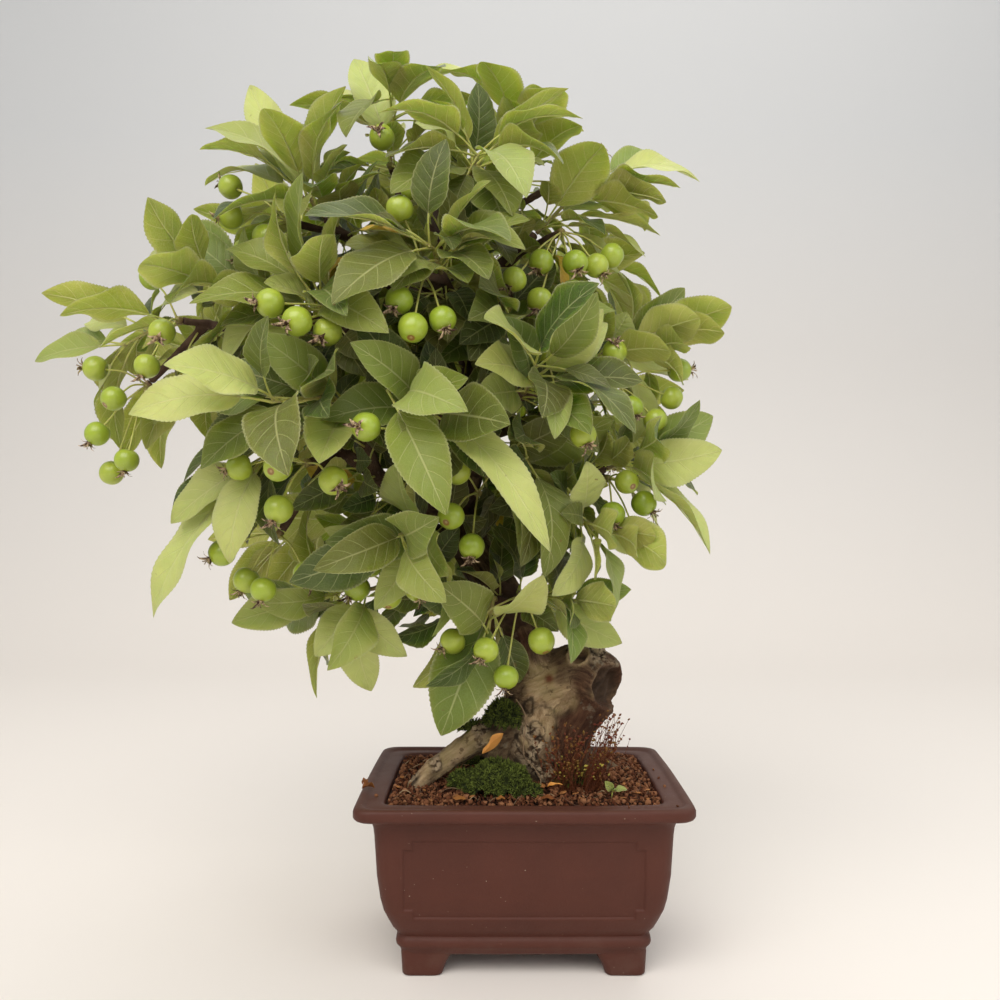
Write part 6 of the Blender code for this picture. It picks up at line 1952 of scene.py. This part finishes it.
def build_stage(look):
    """A pale floor that curves up into a backdrop painted greyer towards its top as shade, even light, soft lamps and
    the camera.
    """
    bends = [math.pi / 24 * k for k in range(1, 13)]
    profile = [(-3.0, 0.0), (0.9, 0.0), *((0.9 + 0.6 * math.sin(t), 0.6 - 0.6 * math.cos(t)) for t in bends),
               (1.5, 3.0)]
    sweep = mesh_object("backdrop", [(x, y, z) for y, z in profile for x in (-4.0, 4.0)],
                        [(k, k + 1, k + 3, k + 2) for k in range(0, 2 * len(profile) - 2, 2)])
    f = Finish("pale_paper", 0.9, 0.2)
    # painted shade: the backdrop greys towards its top
    f.plug(f.mix(f.span(f.parts(f.where)[2], 0.05, 1.1), look.floor_colour, (0.72, 0.72, 0.72)),
           f.surface["Base Color"])
    sweep.data.materials.append(f.material)
    scene = bpy.context.scene
    scene.world = bpy.data.worlds.new("soft_daylight")
    scene.world.use_nodes = True
    background = scene.world.node_tree.nodes["Background"].inputs
    background[0].default_value = (0.93, 0.97, 1.0, 1)
    background[1].default_value = look.sky_strength
    for name, spot, size, power, colour in STAGE_LIGHTS:
        light = bpy.data.lights.new(name, "AREA")
        light.shape = "RECTANGLE"
        light.size, light.size_y = size
        light.energy = power * look.lamp_strength
        light.color = colour
        lamp = new_object(name, light)
        lamp.visible_camera = False
        lamp.location = HOME + Vector(spot)
        aim = HOME + Vector((0, 0, 0.22)) - lamp.location
        lamp.rotation_euler = aim.to_track_quat("-Z", "Y").to_euler()
    camera = bpy.data.cameras.new("camera")
    camera.lens = CAMERA_LENS
    camera.sensor_width = 36
    camera.clip_start = 0.01
    scene.camera = new_object("camera", camera)
    scene.camera.location = HOME + Vector(CAMERA_SPOT)
    scene.camera.rotation_euler = (math.radians(90 + CAMERA_PITCH), 0, 0)
    scene.view_settings.view_transform = "Standard"


# ---- carried-over solids

def dress_solids(look):
    """Better finishes for the soil and the drain screens, which keep the solids' own meshes."""
    coated(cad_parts["soil"], granule_material(look, "packed_granules"))
    f = Finish("black_mesh", 0.55, 0.4)
    dust = f.mask("settled_dust", 400.0, 0.2, 1.1) * 0.4
    mesh_black = f.done(f.mix(dust, (0.012, 0.012, 0.013), (0.14, 0.08, 0.05)), f.noise(900.0), 0.0001)
    for side in ("left", "right"):
        coated(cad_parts["drain_screen_" + side], mesh_black)


# ---- settings, operators and panel

def colour(name, description, *default):
    return bpy.props.FloatVectorProperty(name=name, description=description, default=default, subtype="COLOR", size=3)


def length(name, description, default):
    return bpy.props.FloatProperty(name=name, description=description, default=default, unit="LENGTH", precision=4)


def factor(name, description, default):
    return bpy.props.FloatProperty(name=name, description=description, default=default, subtype="FACTOR")


def amount(name, description, default):
    return bpy.props.IntProperty(name=name, description=description, default=default)


def strength(name, description, default):
    return bpy.props.FloatProperty(name=name, description=description, default=default)


class BonsaiLook(bpy.types.PropertyGroup):
    """Sizes and colours of the finished look."""

    leaf_thickness: length("Leaf thickness", "How thick a leaf's blade is", 0.0004)
    aged_share: factor("Yellowed share", "Share of the inner leaves that have turned yellow", 0.02)
    bare_share: factor("Bare fruits", "Share of the fruits that have lost their dry calyx", 0.35)
    moss_stalks: amount("Moss stalks", "How many reddish moss stalks stand in the tuft", 280)
    rootlets: amount("Rootlets", "How many dry rootlets lie on the soil", 46)
    inner_tries: amount("Inner leaf tries", "How many inner leaves each place on a branch tries for", 4)
    vein_strength: factor("Vein strength", "How far the veins' paler colour shows", 0.46)
    shaded_colour: colour("Shaded leaf", "Leaf colour in the crown's heart", 0.018, 0.03, 0.005)
    leaf_colour: colour("Leaf", "Usual colour of a leaf's upper side", 0.155, 0.212, 0.03)
    # painted light: the palest leaves, which are young and also painted as sunlit
    young_and_sunlit_colour: colour("Sunlit leaf", "Colour of the palest leaves", 0.54, 0.6, 0.19)
    under_colour: colour("Leaf underside", "Colour of a leaf's lower side", 0.53, 0.545, 0.125)
    stalk_colour: colour("Young stalk", "Colour of leaf and fruit stalks", 0.5, 0.5, 0.14)
    fruit_colour: colour("Fruit", "Colour of the unripe fruit", 0.33, 0.43, 0.03)
    bark_colour: colour("Bark", "Main colour of the old bark", 0.034, 0.018, 0.01)
    bark_relief: length("Bark relief", "Height of the old bark's ridges", 0.001)
    wood_fineness: length("Wood fineness", "Cell size of the wood's melted skin", 0.0012)
    clay_colour: colour("Clay", "Main colour of the unglazed clay", 0.073, 0.0195, 0.011)
    soil_colour: colour("Granules", "Main colour of the soil granules", 0.12, 0.036, 0.014)
    grain_size: length("Grain size", "Usual width of a soil granule", 0.0027)
    floor_colour: colour("Floor", "Colour of the plain pale floor", 0.86, 0.8, 0.74)
    sky_strength: strength("Sky strength", "Brightness of the even light from all round", 0.45)
    lamp_strength: strength("Lamp strength", "Brightness of the soft lamps together", 1.22)


class BONSAI_OT_solids(bpy.types.Operator):
    """Give the soil and the drain screens their finishes"""

    bl_idname = "bonsai.solids"
    bl_label = "Dress the solids"

    def execute(self, context):
        dress_solids(context.scene.bonsai_look)
        return {"FINISHED"}


class BONSAI_OT_pot(bpy.types.Operator):
    """Build the clay pot with its panels, feet and drain holes"""

    bl_idname = "bonsai.pot"
    bl_label = "Pot"

    def execute(self, context):
        build_pot(clay_material(context.scene.bonsai_look))
        return {"FINISHED"}


class BONSAI_OT_wood(bpy.types.Operator):
    """Build the trunk, the roots and the branches"""

    bl_idname = "bonsai.wood"
    bl_label = "Wood"

    def execute(self, context):
        look = context.scene.bonsai_look
        build_wood(look, bark_material(look))
        return {"FINISHED"}


class BONSAI_OT_sprays(bpy.types.Operator):
    """Build the leafy sprays where the solids' leaves are"""

    bl_idname = "bonsai.sprays"
    bl_label = "Leafy sprays"

    def execute(self, context):
        look = context.scene.bonsai_look
        large, small = unit_leaf("unit_leaf", 13, 2), unit_leaf("small_leaf", 9, 1)
        kit = LeafKit(look, large)
        for number, name in enumerate(SPRAYS):
            build_spray(name, number, kit)
        build_inner_leaves(LeafKit(look, small))
        removed(large, small)
        return {"FINISHED"}


class BONSAI_OT_fruits(bpy.types.Operator):
    """Build the fruit bunches where the solids' fruits are"""

    bl_idname = "bonsai.fruits"
    bl_label = "Fruits"

    def execute(self, context):
        look = context.scene.bonsai_look
        unit, tree = unit_fruit(), bunch_tree()
        skin, stalk = fruit_material(look), shared("young_stalk", stalk_material, look)
        for number, name in enumerate(BUNCHES):
            build_bunch(name, number, look, unit, tree, skin, stalk)
        removed(unit)
        return {"FINISHED"}


class BONSAI_OT_ground(bpy.types.Operator):
    """Strew the granules over the soil and grow the moss"""

    bl_idname = "bonsai.ground"
    bl_label = "Soil cover"

    def execute(self, context):
        look = context.scene.bonsai_look
        unit, tree = unit_grain(), scatter_tree()
        build_granules(look, unit, tree, granule_material(look))
        removed(unit)
        build_moss(tree, toned_material("green_moss", 0.9, (0.013, 0.018, 0.004), (0.12, 0.15, 0.022), 110.0))
        return {"FINISHED"}


class BONSAI_OT_small_growth(bpy.types.Operator):
    """Grow the moss capsules and the seedling, and strew the litter"""

    bl_idname = "bonsai.small_growth"
    bl_label = "Small growth and litter"

    def execute(self, context):
        look = context.scene.bonsai_look
        urns = toned_material("moss_capsule", 0.5, (0.13, 0.022, 0.008), (0.34, 0.27, 0.04), 300.0)
        stems = toned_material("moss_stalk", 0.5, (0.06, 0.02, 0.008), (0.2, 0.05, 0.014), 300.0)
        build_moss_capsules(look, bunch_tree(), urns, stems)
        unit = unit_leaf("small_leaf", 9, 1)
        build_seedling(LeafKit(look, unit))
        dry = toned_material("dry_leaf", 0.7, (0.16, 0.045, 0.012), (0.62, 0.28, 0.06), 160.0)
        stem = stem_material("dry_rootlet", (0.1, 0.045, 0.025), (0.5, 0.36, 0.2))
        chips = toned_material("bark_chip", 0.85, (0.05, 0.02, 0.01), (0.42, 0.17, 0.05), 300.0)
        build_litter(look, LeafKit(look, unit, dry, stem), scatter_tree(), chips)
        removed(unit)
        return {"FINISHED"}


class BONSAI_OT_stage(bpy.types.Operator):
    """Set up the pale floor, the soft light and the camera"""

    bl_idname = "bonsai.stage"
    bl_label = "Stage"

    def execute(self, context):
        build_stage(context.scene.bonsai_look)
        return {"FINISHED"}


STEPS = (BONSAI_OT_solids, BONSAI_OT_pot, BONSAI_OT_wood, BONSAI_OT_sprays, BONSAI_OT_fruits,
         BONSAI_OT_ground, BONSAI_OT_small_growth, BONSAI_OT_stage)


class BONSAI_PT_panel(bpy.types.Panel):
    """Lists the steps and the settings"""

    bl_label = "Crabapple bonsai"
    bl_space_type = "VIEW_3D"
    bl_region_type = "UI"
    bl_category = "Bonsai"

    def draw(self, context):
        for step in STEPS:
            self.layout.operator(step.bl_idname)
        for name in BonsaiLook.__annotations__:
            self.layout.prop(context.scene.bonsai_look, name)


CLASSES = (BonsaiLook, *STEPS, BONSAI_PT_panel)


def register():
    for cls in CLASSES:
        bpy.utils.register_class(cls)
    bpy.types.Scene.bonsai_look = bpy.props.PointerProperty(type=BonsaiLook)


def unregister():
    del bpy.types.Scene.bonsai_look
    for cls in reversed(CLASSES):
        bpy.utils.unregister_class(cls)


def main():
    """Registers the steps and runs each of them."""
    register()
    for step in STEPS:
        group, name = step.bl_idname.split(".")
        done = getattr(getattr(bpy.ops, group), name)()
        if "FINISHED" not in done:
            raise RuntimeError("step " + step.bl_label + " didn't finish")


if __name__ == "__main__":
    main()
